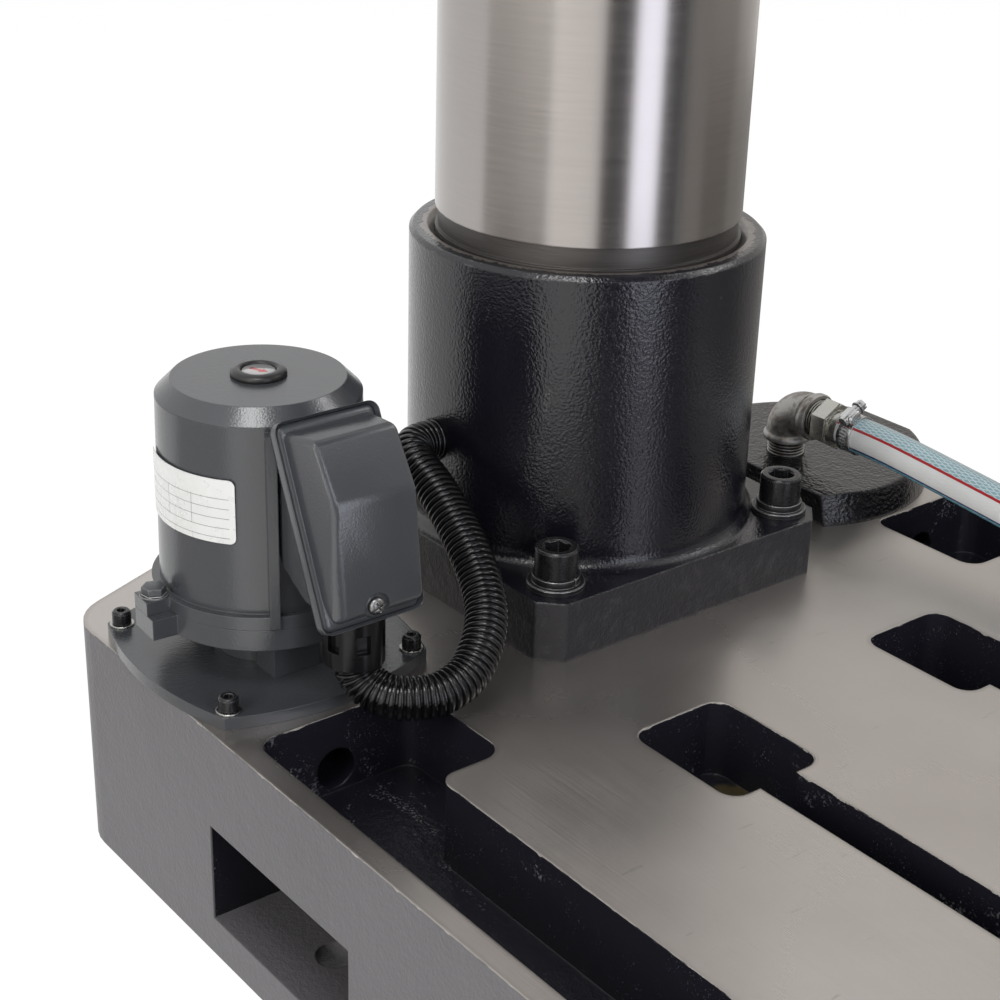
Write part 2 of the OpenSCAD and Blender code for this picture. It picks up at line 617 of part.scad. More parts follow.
// Coolant pump
module both(a) for (t = [0, 180]) rotate([0, 0, a + t]) children();
lug_angle = 176;
lug_at = 55;
lug_w = 13;
neck_r = 24;
rotor_r = 26;
shaft_r = 6;
side_arc = pump_half * 2.5;
end_arc = pump_half_y * 2;
module pump_flange() color([0.35, 0.37, 0.38]) translate(pump_at) difference() {
    intersection() {
        intersection_for(s = [-1, 1]) translate([s * (side_arc - pump_half), 0, 0]) cylinder(r = side_arc,
            h = pump_t, $fn = 144);
        intersection_for(s = [-1, 1]) translate([0, s * (end_arc - pump_half_y), 0]) cylinder(r = end_arc,
            h = pump_t, $fn = 144);
        cylinder(r = pump_pitch * 0.78, h = pump_t, $fn = 96);
    }
    translate([0, 0, -eps]) cylinder(r = neck_r + seat, h = pump_t + 2 * eps);
    translate([0, 0, -eps]) at_corners(pump_pitch, pump_pitch) cylinder(r = m5_r + 0.4, h = pump_t + 2 * eps);
}
module pump_bolts() color([0.08, 0.08, 0.08]) translate(pump_at + [0, 0, pump_t + pump_washer_t])
    at_corners(pump_pitch, pump_pitch) cap_screw(m5_r, pump_t + pump_washer_t + 10, pump_m * 0.9, pump_m * 1.3,
        4);
module pump_washers() color([0.8, 0.8, 0.8]) translate(pump_at + [0, 0, pump_t])
    at_corners(pump_pitch, pump_pitch) ring(pump_m * 1.15, m5_r + 0.2, pump_washer_t);
module lug(z, h, hole, wide) {
    both(lug_angle) difference() {
        translate([ring_r - 6, -lug_w / 2, z]) cube([lug_at - ring_r + 6 + lug_w / 2, lug_w / 2 + wide, h]);
        translate([lug_at, 0, z - eps]) cylinder(r = hole, h = h + 2 * eps);
    }
}
module pump_bracket() color([0.36, 0.38, 0.39]) translate(pump_at) difference() {
    union() {
        translate([0, 0, ring_z]) rotate([0, 0, 90]) cylinder(r = ring_r, h = ring_h);
        lug(ring_z + 0.3, ring_h - 0.3, 3 + seat, lug_w - 1);
        translate([0, 0, -suction_len]) cylinder(r = neck_r, h = suction_len + ring_z + eps);
        for (s = [0, 1]) mirror([0, s, 0]) translate([-neck_r * 0.75, -neck_r - 13, pump_t])
            cube([neck_r, 16, ring_z - pump_t + eps]);
    }
    translate([0, 0, -suction_len - eps]) cylinder(r = shaft_r + 2, h = suction_len + ring_z + ring_h);
    translate([0, 0, -suction_len - eps]) cylinder(r = neck_r - 4, h = 24);
    translate([0, 0, ring_z + 4]) cylinder(r = shell_r - shell_wall - 1, h = ring_h);
}
shell_z = ring_z + ring_h;
shell_foot = shell_r + shell_flare;
module pump_shell() color([0.35, 0.37, 0.38]) translate(pump_at) difference() {
    union() {
        translate([0, 0, shell_z]) rotate([0, 0, 90]) cylinder(r = ring_r, h = foot_h);
        translate([0, 0, shell_z + foot_h - eps])
            cylinder(r1 = shell_foot, r2 = shell_r, h = seam_z - shell_z - foot_h + eps);
        lug(shell_z, foot_h, 3 + seat, lug_w / 2);
        for (a = [-116, -64]) rotate([0, 0, a]) translate([shell_r - 2, -2.3, shell_z + 1])
            cube([shell_flare + 7, 4.6, seam_z - shell_z - 3]);
    }
    translate([0, 0, shell_z - eps]) cylinder(r = shell_r - shell_wall, h = seam_z - shell_z + 2 * eps);
}
cap_z = seam_z + cap_bevel;
grommet_r = 12.7;
grommet_in = 9;
disc_r = 7.7;
module pump_cap() color([0.38, 0.4, 0.41]) translate(pump_at) difference() {
    union() {
        translate([0, 0, seam_z]) cylinder(r1 = shell_r, r2 = shell_r - cap_bevel, h = cap_bevel);
        translate([0, 0, seam_z - 5]) cylinder(r = shell_r - shell_wall - seat, h = 5 + eps);
    }
    translate([0, 0, seam_z - 5 - eps]) cylinder(r = shell_r - shell_wall - 3, h = 5 + cap_bevel - 3 + eps);
    translate([0, 0, seam_z]) cylinder(r = grommet_in + seat, h = cap_bevel + eps);
}
module cap_grommet() color([0.07, 0.07, 0.07]) translate(pump_at + [0, 0, cap_z]) difference() {
    union() {
        cylinder(r1 = grommet_r, r2 = grommet_r - 1.5, h = 3.5);
        translate([0, 0, -3.5]) cylinder(r = grommet_in, h = 4);
    }
    translate([0, 0, 1]) cylinder(r = disc_r + seat, h = 5);
    translate([0, 0, -4]) cylinder(r = disc_r - 2, h = 8);
}
module sight_disc() color([0.75, 0.75, 0.75]) translate(pump_at + [0, 0, cap_z + 1]) cylinder(r = disc_r,
    h = 1.2);
module lug_screws() color([0.4, 0.42, 0.43]) translate(pump_at) both(lug_angle)
    translate([lug_at, 0, shell_z + foot_h]) {
        cylinder(d = 10 / cos(30), h = 4.5, $fn = 6);
        translate([0, 0, -foot_h - 8]) cylinder(r = 3, h = foot_h + 8);
    }
module pump_stator() color([0.6, 0.35, 0.2]) translate(pump_at + [0, 0, shell_z + 12])
    ring(shell_r - shell_wall - seat, rotor_r + 1, 60);
module pump_rotor() color([0.6, 0.6, 0.62]) translate(pump_at) {
    translate([0, 0, shell_z + 14]) cylinder(r = rotor_r, h = 56);
    translate([0, 0, -suction_len + 8]) cylinder(r = shaft_r, h = suction_len + seam_z - 22);
    translate([0, 0, -suction_len + 6]) {
        cylinder(r = neck_r - 6, h = 4);
        for (a = [0 : 60 : 300]) rotate([0, 0, a]) translate([4, -1, 3]) cube([neck_r - 11, 2, 8]);
    }
}
// Terminal box: a wedge on the shell's front, its lid and its gland, placed from the pump's axis
rim_x = -2.5;
face_x = 1;
rim_top = [-56, seam_z + cap_bevel];
rim_low = [-92, 56];
ridge_top = [-73, seam_z + cap_bevel - 1];
knee = [-88, 110];
front_low = [-94, 62];
gland_y = 74;
function on_rim(t, out) = let (d = unit(rim_low - rim_top)) rim_top + (rim_low - rim_top) * t +
    out * [d.y, -d.x];
module slab(p, w, t, x) translate([x - w / 2, p.x - t / 2, p.y - t / 2]) cube([w, t, t]);
module wedge(w, inset) {
    body = [[-30, seam_z - 6 - inset], [on_rim(0.08, 0).x + inset, seam_z - 6 - inset],
        [on_rim(0.97, 0).x + inset, 60 + inset], [-30, 60 + inset]];
    translate([-w / 2, 0, 0]) rotate([90, 0, 90]) linear_extrude(w) polygon(body);
}
module terminal_box() color([0.37, 0.38, 0.38]) translate(pump_at) difference() {
    wedge(body_w, 0);
    difference() {
        wedge(body_w - 6, 3);
        cylinder(r = shell_foot + 3, h = 200);
    }
    translate([0, -60, 75]) towards_front() cylinder(r = 18, h = 60);
    translate([0, 0, -eps]) cylinder(r1 = shell_foot + 2 + seat, r2 = shell_foot + 2 + seat, h = 200);
    translate([0, -gland_y, 40]) cylinder(r = 9, h = 30);
}
module lid_form(grow) {
    hull() {
        for (p = [rim_top, rim_low]) slab(p, box_w + grow, 4 + grow, rim_x);
        for (p = [ridge_top, knee, front_low]) slab(p, lid_w + grow, 3 + grow, face_x);
    }
}
module terminal_lid() color([0.36, 0.38, 0.39]) translate(pump_at) difference() {
    lid_form(0);
    translate([0, 2.5, -1]) hull() {
        for (p = [rim_top + [12, -4], rim_low + [14, 6]]) slab(p, box_w - 8, 4, rim_x);
        for (p = [ridge_top + [0, -3], knee + [0, -2], front_low + [0, 3]]) slab(p, lid_w - 6, 3, face_x);
    }
    wedge(body_w + 2 * seat, -seat);
    screw_spot() cylinder(r = 2 + seat, h = 30, center = true);
}
module screw_spot() translate([face_x - 3, front_low.x - 1.5, front_low.y + 1]) towards_front() children();
module lid_screw() color([0.7, 0.7, 0.7]) translate(pump_at) screw_spot() {
    difference() {
        cylinder(r = 4.2, h = 2.6);
        for (a = [0, 90]) rotate([0, 0, a]) translate([-2.2, -0.5, 1.2]) cube([4.4, 1, 2]);
    }
    translate([0, 0, -8]) cylinder(r = 2, h = 8);
}
module conduit_gland() color([0.08, 0.08, 0.08]) translate(pump_at + [0, -gland_y, 0]) difference() {
    union() {
        translate([0, 0, 28]) cylinder(r = 13.8, h = 24);
        translate([0, 0, 52]) cylinder(r = 12.5, h = 8);
        translate([0, 0, 60]) cylinder(r = 9 - seat, h = 6);
    }
    translate([0, 0, 28 - eps]) cylinder(d = conduit_d + 0.6, h = 20);
    translate([0, 0, 28]) cylinder(r = 6, h = 60);
    for (a = [0 : 60 : 300]) rotate([0, 0, a + 15]) translate([10.8, -3.2, 36]) cube([6, 6.4, 9]);
}

// Table bracket, lifted on the column by the crank's pinion
collar_r = column_r + collar_wall;
collar_z = crank_z - collar_h / 2;
lift_r = gear_m * lift_teeth / 2;
crank_x = rack_pitch_x + lift_r;
arm_w = 100;
boss_r = post_d / 2 + 24;
fit_seat = 14;
drip_r = 5;
boss_top = table_z - table_t;
boss_h = post_len + 10;
gear_box = 28;
shaft_front = 120;
crank_shaft_r = 12;
lock_r = 8;
lock_x = collar_r + 14;
fit_z = boss_top - 62;
fit_at = [140, -40];
lock_z = collar_z + collar_h * 0.5;
module table_bracket() color([0.3, 0.31, 0.33]) difference() {
    union() {
        translate([0, 0, collar_z]) cylinder(r = collar_r, h = collar_h, $fn = 96);
        translate([-arm_w / 2, 0, 0]) rotate([90, 0, 90]) linear_extrude(arm_w)
            polygon([[-collar_r + 30, collar_z + 6], [-throat, boss_top - boss_h + 4], [-throat,
                boss_top - 4],
                [-collar_r + 30, collar_z + collar_h - 4]]);
        translate([0, -throat, boss_top - boss_h]) cylinder(r = boss_r, h = boss_h);
        at_back() translate([column_r + 4, -gear_box, crank_z - lift_r - 12])
            cube([crank_x - column_r - 4 + lift_r + 12, 2 * gear_box, 2 * lift_r + 24]);
        translate([-collar_r - 32, -22, collar_z]) cube([44, 44, collar_h]);
    }
    translate([0, 0, collar_z - eps]) cylinder(r = column_r + run, h = collar_h + 2 * eps, $fn = 96);
    at_back() {
        translate([column_r - 6, -rack_w / 2 - 1, collar_z - eps])
            cube([rack_depth + 8, rack_w + 2, collar_h + 2 * eps]);
        translate([crank_x, rack_w / 2 + 1, crank_z]) towards_front()
            cylinder(r = lift_r + gear_m + 1.5, h = rack_w + 2);
        translate([rack_pitch_x - 2, -rack_w / 2 - 1, crank_z - 26]) cube([lift_r, rack_w + 2, 52]);
        translate([crank_x, gear_box + eps, crank_z]) towards_front()
            cylinder(r = crank_shaft_r + run, h = 2 * gear_box + 2 * eps);
    }
    translate([-column_r - collar_wall - 60, -2, collar_z - eps]) cube([collar_wall + 65, 4,
        collar_h + 2 * eps]);
    translate([-lock_x, 50, lock_z]) towards_front() cylinder(r = lock_r + run, h = 100);
    translate([0, -throat, boss_top - boss_h - eps]) cylinder(d = post_d + 2 * run, h = boss_h + 2 * eps);
    translate([0, -throat - post_d / 2 + 4, boss_top - 40]) towards_front() cylinder(r = lock_r + run,
        h = 60);
    translate([0, -throat, fit_z]) along_x() cylinder(r = drip_r, h = boss_r + eps);
    translate([boss_r - fit_seat, -throat, fit_z]) along_x()
        cylinder(d = pipe_d - 2 + 2 * seat, h = fit_seat + eps);
}
// A ball-ended lever on a threaded shank, pointing up; its shank runs down -Z
module lock_lever(shank_r, shank, arm) {
    translate([0, 0, -shank]) cylinder(r = shank_r, h = shank);
    cylinder(r = 15, h = 16);
    translate([0, 0, 8]) rotate([0, 62, 0]) cylinder(r1 = 7, r2 = 5, h = arm);
    translate([0, 0, 8]) rotate([0, 62, 0]) translate([0, 0, arm]) sphere(r = 13);
}
module column_lock() color([0.1, 0.1, 0.1]) translate([-lock_x, -22 - slack, lock_z])
    rotate([90, 0, 0]) rotate([0, 0, 90]) lock_lever(lock_r, 40, 90);
module table_lock() color([0.1, 0.1, 0.1]) translate([0, -throat - boss_r - slack, boss_top - 40])
    rotate([90, 0, 0]) rotate([0, 0, 180]) lock_lever(lock_r, boss_r - post_d / 2 - 2, 70);
// Drain fitting on the bracket's boss: a pipe to the right with a spigot that points down
fit_drop = fit_z - top - hose_end;
module drain_fitting() color([0.6, 0.6, 0.58]) translate([0, -throat, fit_z]) difference() {
    union() {
        translate([boss_r - fit_seat, 0, 0]) along_x()
            cylinder(d = pipe_d - 2, h = fit_at.x - boss_r + fit_seat);
        translate([fit_at.x, 0, 0]) sphere(r = elbow_r);
        translate([fit_at.x, 0, 0]) towards_front() cylinder(d = pipe_d - 2, h = -fit_at.y);
        translate([fit_at.x, fit_at.y, 0]) sphere(r = elbow_r);
        translate([fit_at.x, fit_at.y, -fit_drop]) cylinder(d = pipe_d - 1, h = fit_drop);
        translate([fit_at.x, fit_at.y, -fit_drop - 20]) cylinder(r = tail_r, h = 20 + eps);
    }
    translate([boss_r - 20, 0, 0]) along_x() cylinder(r = drip_r, h = fit_at.x - boss_r + 20);
    translate([fit_at.x, 0, 0]) towards_front() cylinder(r = drip_r, h = -fit_at.y);
    translate([fit_at.x, fit_at.y, -fit_drop - 30]) cylinder(r = drip_r, h = fit_drop + 30);
}
module crank() color([0.25, 0.25, 0.27]) at_back() translate([crank_x, 0, crank_z]) {
    translate([0, rack_w / 2, 0]) rotate([90, 0, 0]) rotate([0, 0, 180]) gear(lift_teeth, gear_m, rack_w, 5);
    translate([0, gear_box - 1, 0]) towards_front() cylinder(r = crank_shaft_r, h = gear_box - 1 +
        shaft_front);
    translate([0, -shaft_front + 16, 0]) towards_front() cylinder(r = 20, h = 20);
    translate([-12, -shaft_front - 4, 0]) cube([24, 14, crank_len]);
    translate([0, -shaft_front + 10, crank_len]) towards_front() cylinder(r = 12, h = 14);
    translate([0, -shaft_front - 4 + eps, crank_len]) towards_front() cylinder(r = 6, h = 92);
    translate([0, -shaft_front - 94, crank_len]) towards_front() cylinder(r = 9, h = 3);
}
module crank_grip() color([0.06, 0.06, 0.06]) at_back()
    translate([crank_x, -shaft_front - 5, crank_z + crank_len]) towards_front() difference() {
        rotate_extrude() polygon([[0, 0], [11, 0], [13, 4], [15, 40], [15, 60], [11, 84], [9, 88], [0, 88]]);
        translate([0, 0, -eps]) cylinder(r = 6 + run, h = 90);
    }
// Round work table with crossing T-slots, a gutter and a post
gutter_r = table_d / 2 - 9;
module table_slot() {
    reach = table_d / 2 - 24;
    translate([-table_slot_w / 2, -reach, table_t - 26]) cube([table_slot_w, 2 * reach, 27]);
    translate([-table_slot_w / 2 - 5, -reach, table_t - 26]) cube([table_slot_w + 10, 2 * reach, 12]);
}
module work_table() color([0.66, 0.65, 0.64]) translate([0, -throat, boss_top]) difference() {
    union() {
        translate([0, 0, 12]) cylinder(d = table_d, h = table_t - 12, $fn = 96);
        cylinder(r = boss_r + 10, h = 13);
        translate([0, 0, -post_len]) cylinder(d = post_d, h = post_len + eps);
    }
    translate([0, 0, table_t - 10]) ring(gutter_r, gutter_r - 15, 11);
    for (a = [0, 90]) rotate([0, 0, a]) table_slot();
    translate([0, 0, -post_len - eps]) cylinder(r = 16, h = post_len + table_t + 2 * eps);
}

// Head
head_top = head_z + head_h;
chamber_z = head_top - 80;
chamber_back = 99;
feed_r = gear_m * feed_teeth / 2;
quill_r = quill_d / 2;
quill_rack_y = -throat + quill_r - 0.9 * gear_m - 0.5;
feed_y = quill_rack_y + feed_r;
feed_z = head_z + 60;
feed_shaft_r = 12;
module head_outline(i, h) linear_extrude(h) polygon(rounded([[head_w / 2 - i, -head_front + i, 40 - i],
    [head_w / 2 - i, head_back - i, 60 - i], [-head_w / 2 + i, head_back - i, 60 - i],
        [-head_w / 2 + i, -head_front + i, 40 - i]]));
lever_y = -head_front;
lever_z = head_top - 50;
lever_x = 95;
// The hollow under the gear chamber, open below between the column and the quill
module head_hollow() {
    low = head_z + 20;
    high = chamber_z - 20;
    difference() {
        union() {
            translate([0, 0, low]) head_outline(head_wall, high - low);
            translate([-75, -210, head_z - eps]) cube([150, 100, 30]);
        }
        translate([0, 0, head_z - 2 * eps]) cylinder(r = column_r + 22, h = head_h, $fn = 96);
        translate([0, -throat, head_z - 2 * eps]) cylinder(r = quill_r + 18, h = head_h, $fn = 96);
        translate([-42, feed_y, feed_z]) along_x() cylinder(r = feed_r + gear_m + 14, h = 84);
        translate([-head_w / 2, feed_y, feed_z]) along_x() cylinder(r = feed_shaft_r + 12, h = head_w);
        translate([guard_at.x, guard_at.y, head_z]) cylinder(r = 22, h = 50);
        translate([lay_at.x, lay_at.y, high - 20]) cylinder(r = 26, h = 40);
    }
}
module head_casting() color([0.62, 0.64, 0.62]) difference() {
    translate([0, 0, head_z]) union() {
        head_outline(0, head_h);
        translate([0, -throat, -14]) cylinder(r = quill_r + 16, h = 14 + eps);
    }
    head_hollow();
    translate([0, 0, head_z - eps]) cylinder(r = column_r + seat, h = column_top - head_z + eps, $fn = 96);
    translate([0, 0, chamber_z]) linear_extrude(head_h) polygon(rounded([
        [head_w / 2 - head_wall, -head_front + head_wall, 28], [head_w / 2 - head_wall, -chamber_back, 10],
        [-head_w / 2 + head_wall, -chamber_back, 10], [-head_w / 2 + head_wall, -head_front + head_wall,
            28]]));
    translate([0, -throat, head_z - 14 - eps]) cylinder(r = quill_r + run, h = head_h, $fn = 96);
    translate([-30, feed_y, feed_z]) along_x() cylinder(r = feed_r + gear_m + 2, h = 60);
    translate([-head_w / 2 - eps, feed_y, feed_z]) along_x() cylinder(r = feed_shaft_r + run,
        h = head_w + 2 * eps);
    for (s = [-1, 1]) translate([s * lever_x, lever_y + head_wall + eps, lever_z]) towards_front()
        cylinder(r = lever_r + run, h = head_wall + 2 * eps);
    translate([guard_at.x, guard_at.y, head_z - eps]) cylinder(r = guard_pin + run, h = 40);
    translate([lay_at.x, lay_at.y, chamber_z - 18]) cylinder(r = lay_shaft_r + run, h = 20);
}
lever_r = 8;
guard_pin = 8;
lay_shaft_r = 12;
gear_low = chamber_z + 6;
gear_high = chamber_z + 36;
spindle_at = [0, -throat];
lay_dist = gear_m * (lay_small + spindle_teeth) / 2;
lay_angle = 45;
lay_at = spindle_at + lay_dist * [cos(lay_angle), sin(lay_angle)];
motor_dist = gear_m * (motor_teeth + lay_teeth) / 2;
motor_angle = 180 - acos(lay_at.x / motor_dist);
motor_at = lay_at + motor_dist * [cos(motor_angle), sin(motor_angle)];
cover_t = 20;
cover_top = head_top + cover_t;
sleeve_h = quill_travel + 20;
module head_cover() color([0.62, 0.64, 0.62]) difference() {
    union() {
        translate([0, 0, head_top]) head_outline(4, cover_t);
        translate([spindle_at.x, spindle_at.y, cover_top - eps]) cylinder(r = spline_d / 2 + 6,
            h = sleeve_h + 4);
    }
    translate([spindle_at.x, spindle_at.y, head_top - eps]) cylinder(r = spline_d / 2 + 2,
        h = sleeve_h + cover_t);
    translate([motor_at.x, motor_at.y, head_top - eps]) cylinder(r = 25, h = cover_t + 2 * eps);
    translate([lay_at.x, lay_at.y, head_top - eps]) cylinder(r = lay_shaft_r + run, h = 12);
}
flange_h = 12;
module motor_body() color([0.35, 0.37, 0.38]) translate([motor_at.x, motor_at.y, cover_top]) difference() {
    union() {
        cylinder(r = motor_r + 4, h = flange_h);
        cylinder(r = motor_r - 12, h = motor_h);
        for (a = [0 : 15 : 345]) rotate([0, 0, a]) translate([motor_r - 14, -1.5, flange_h - eps])
            cube([12, 3, motor_h - flange_h - 8]);
        translate([0, 0, motor_h - 10]) cylinder(r = motor_r - 4, h = 10);
    }
    translate([0, 0, flange_h]) cylinder(r = motor_r - 20, h = motor_h - flange_h - 10);
    translate([0, 0, -eps]) cylinder(r = 14 + run, h = motor_h + 2 * eps);
}
fan_h = 46;
fan_wall = 2;
vent_len = 9;
vent_w = 5;
vent_at = [22, 36, 50];
module fan_cover() color([0.2, 0.2, 0.22]) translate([motor_at.x, motor_at.y, cover_top + motor_h])
    difference() {
    cylinder(r = motor_r - fan_wall, h = fan_h);
    translate([0, 0, -eps]) cylinder(r = motor_r - 2 * fan_wall, h = fan_h - 2 * fan_wall + eps);
    for (a = [0 : 30 : 330], r = vent_at) rotate([0, 0, a])
        translate([r, -vent_w / 2, fan_h - 3 * fan_wall]) cube([vent_len, vent_w, 4 * fan_wall]);
}
module motor_rotor() color([0.5, 0.5, 0.52]) translate([motor_at.x, motor_at.y, 0]) {
    translate([0, 0, gear_high]) rotate([0, 0, motor_angle + 180]) gear(motor_teeth, gear_m, 20, 5);
    translate([0, 0, gear_high - 4]) cylinder(r = 14, h = cover_top + motor_h - gear_high + 26);
    translate([0, 0, cover_top + flange_h + 20]) cylinder(r = motor_r - 34, h = motor_h - flange_h - 50);
    translate([0, 0, cover_top + motor_h + 10]) for (a = [0 : 60 : 300]) rotate([0, 0, a])
        translate([12, -1.5, 0]) cube([motor_r - 24, 3, 14]);
}
module lay_gears() color([0.5, 0.5, 0.52]) translate([lay_at.x, lay_at.y, 0]) {
    translate([0, 0, gear_low]) rotate([0, 0, lay_angle + 180 + 180 / lay_small]) gear(lay_small, gear_m,
        20, 5);
    translate([0, 0, gear_high]) rotate([0, 0, motor_angle + 180 / lay_teeth]) gear(lay_teeth, gear_m, 20, 5);
    translate([0, 0, chamber_z - 17]) cylinder(r = lay_shaft_r, h = head_top + 10 - chamber_z + 17);
}
module spindle_gear() color([0.5, 0.5, 0.52]) translate([spindle_at.x, spindle_at.y, 0]) {
    translate([0, 0, gear_low]) rotate([0, 0, lay_angle]) gear(spindle_teeth, gear_m, 20, spline_d / 2 + run);
    translate([0, 0, chamber_z]) ring(spline_d / 2 + 8, spline_d / 2 + run, head_top - chamber_z - slack);
}
quill_gap = 20;
quill_z = chamber_z - quill_gap - quill_len;
quill_bore = quill_r - 14;
module quill() color([0.7, 0.7, 0.7]) difference() {
    translate([0, -throat, quill_z]) cylinder(r = quill_r, h = quill_len, $fn = 96);
    translate([0, -throat, quill_z - eps]) cylinder(r = quill_bore, h = quill_len + 2 * eps);
    difference() {
        translate([-12, quill_rack_y - 1.2 * gear_m, quill_z + 40]) cube([24, 20, quill_len]);
        translate([-12, quill_rack_y, feed_z]) mirror([0, 1, 0]) rotate([90, 0, 90]) mirror([1, 0, 0])
            linear_extrude(24) quill_rack();
    }
}
// The quill's rack: gap centred on the feed pinion at rest
module quill_rack() {
    below = ceil((feed_z - quill_z - 30) / (PI * gear_m));
    above = ceil((quill_z + quill_len - feed_z) / (PI * gear_m)) + 1;
    translate([0, -below * PI * gear_m]) polygon(concat([[-3 * gear_m, 0]], rack_teeth(below + above, gear_m),
        [[-3 * gear_m, (below + above) * PI * gear_m]]));
}
bearing_h = 18;
module quill_bearings() color([0.6, 0.6, 0.6]) for (z = [quill_z + 4, quill_z + quill_len - bearing_h - 4])
    translate([0, -throat, z]) ring(quill_bore - seat, spline_d / 2 + 4, bearing_h);
module spindle() color([0.55, 0.55, 0.57]) translate([0, -throat, 0]) difference() {
    union() {
        translate([0, 0, quill_z - 40]) cylinder(r = 30, h = 40 - slack);
        translate([0, 0, quill_z - eps]) cylinder(r = spline_d / 2 + 4 - run, h = quill_len - 2);
        translate([0, 0, quill_z + 20]) cylinder(d = spline_d, h = cover_top + sleeve_h - 12 - quill_z - 20);
    }
    translate([0, 0, quill_z - 40 - eps]) cylinder(r1 = 15.6, r2 = 12.6, h = 110);
    translate([-8, -25, quill_z + 60]) cube([16, 50, 24]);
}
// Quill feed: hub, three levers and knobs, dial, return spring
hub_x = head_w / 2 + 14;
module feed_hub() color([0.2, 0.2, 0.22]) translate([0, feed_y, feed_z]) {
    translate([-12, 0, 0]) along_x() rotate([0, 0, -90]) gear(feed_teeth, gear_m, 24, 5);
    translate([-head_w / 2 - 20, 0, 0]) along_x() cylinder(r = feed_shaft_r, h = head_w / 2 + 22 + hub_x);
    translate([hub_x, 0, 0]) along_x() difference() {
        cylinder(r = 34, h = 40);
        for (i = [0 : 2]) rotate([0, 0, 120 * i + 30]) translate([0, 0, 20]) rotate([0, 65, 0])
            translate([0, 0, 20]) cylinder(r = 7 + seat, h = 40);
    }
}
module feed_spoke(i) translate([hub_x, feed_y, feed_z]) along_x() rotate([0, 0, 120 * i + 30])
    translate([0, 0, 20]) rotate([0, 65, 0]) children();
module feed_levers() color([0.75, 0.75, 0.75]) for (i = [0 : 2]) feed_spoke(i)
    translate([0, 0, 20]) cylinder(r = 7, h = feed_len);
module feed_knobs() color([0.05, 0.05, 0.05]) for (i = [0 : 2]) feed_spoke(i) translate([0, 0, 20 + feed_len])
    rotate_extrude() polygon([[0, 0], [9, 0], [16, 10], [18, 22], [15, 34], [8, 40], [0, 41]]);
module depth_dial() color([0.8, 0.8, 0.8]) translate([head_w / 2 + slack, feed_y, feed_z]) along_x()
    ring(46, feed_shaft_r + seat, 14 - slack);
module spring_housing() color([0.25, 0.25, 0.27]) translate([-head_w / 2, feed_y, feed_z]) rotate([0, -90, 0])
    difference() {
        cylinder(r = 42, h = 34);
        translate([0, 0, -eps]) cylinder(r = 38, h = 30 + eps);
    }
// Two change levers on the head's front
module change_lever(x) translate([x, lever_y - slack, lever_z]) {
    translate([0, head_wall + slack, 0]) towards_front() cylinder(r = lever_r, h = head_wall + 22);
    towards_front() cylinder(r = 20, h = 20);
    translate([0, -10, 0]) rotate([-22, 0, 0]) translate([0, 0, -100]) cylinder(r = 6, h = 100);
    translate([0, -10, 0]) rotate([-22, 0, 0]) translate([0, 0, -100]) sphere(r = 15);
}
module speed_lever() color([0.1, 0.1, 0.1]) change_lever(-lever_x);
module range_lever() color([0.1, 0.1, 0.1]) change_lever(lever_x);
// Control panel and its buttons
panel_z = head_z + 20;
panel_w = 210;
panel_h = 90;
panel_t = 34;
button_z = panel_z + 50;
button_x = [-75, -30, 20, 75];
module control_panel() color([0.75, 0.76, 0.74]) translate([-panel_w / 2, -head_front - panel_t, panel_z])
    difference() {
    cube([panel_w, panel_t, panel_h]);
    translate([4, 4, 4]) cube([panel_w - 8, panel_t, panel_h - 8]);
    for (x = button_x) translate([panel_w / 2 + x, 6, button_z - panel_z]) towards_front()
        cylinder(r = 9 + run, h = 10);
}
module button(x, r, h) translate([x, -head_front - panel_t, button_z]) towards_front() {
    translate([0, 0, -14]) cylinder(r = 9, h = 14 + 8 + eps);
    translate([0, 0, 8]) cylinder(r1 = r, r2 = r - 2, h = h);
}
module start_button() color([0.1, 0.5, 0.2]) button(button_x[0], 11, 4);
module stop_button() color([0.7, 0.1, 0.1]) button(button_x[1], 11, 4);
module emergency_stop() color([0.8, 0.1, 0.08]) button(button_x[3], 20, 12);
module coolant_switch() color([0.08, 0.08, 0.08]) {
    button(button_x[2], 12, 4);
    translate([button_x[2] - 3, -head_front - panel_t - 22, button_z - 11]) cube([6, 11, 22]);
}
// Swinging guard round the spindle's nose
guard_at = [-110, -throat - 20];
guard_r = 82;
guard_drop = 160;
guard_low = quill_z - guard_drop;
guard_hub_r = 14;
guard_hub_h = 34;
guard_pin_in = 36;
guard_wall = 3;
guard_arm = [34, 16, 6];
guard_lug = [8, 28, 12];
guard_top = head_z - guard_hub_h - slack;
module chuck_guard() color([0.7, 0.8, 0.85, 0.5]) {
    translate([guard_at.x, guard_at.y, guard_top]) {
        cylinder(r = guard_pin, h = guard_hub_h + guard_pin_in);
        cylinder(r = guard_hub_r, h = guard_hub_h);
        translate([0, -guard_arm.y / 2, 0]) cube(guard_arm);
    }
    translate([0, -throat, guard_low]) intersection() {
        ring(guard_r, guard_r - guard_wall, guard_top - guard_low);
        translate([-guard_r - 5, -guard_r - 5, -eps]) cube([2 * guard_r + 10, guard_r + 5,
            head_z - guard_low]);
    }
    translate([-guard_r + 1, -throat - guard_lug.y, guard_top - guard_lug.z / 2]) cube(guard_lug);
}
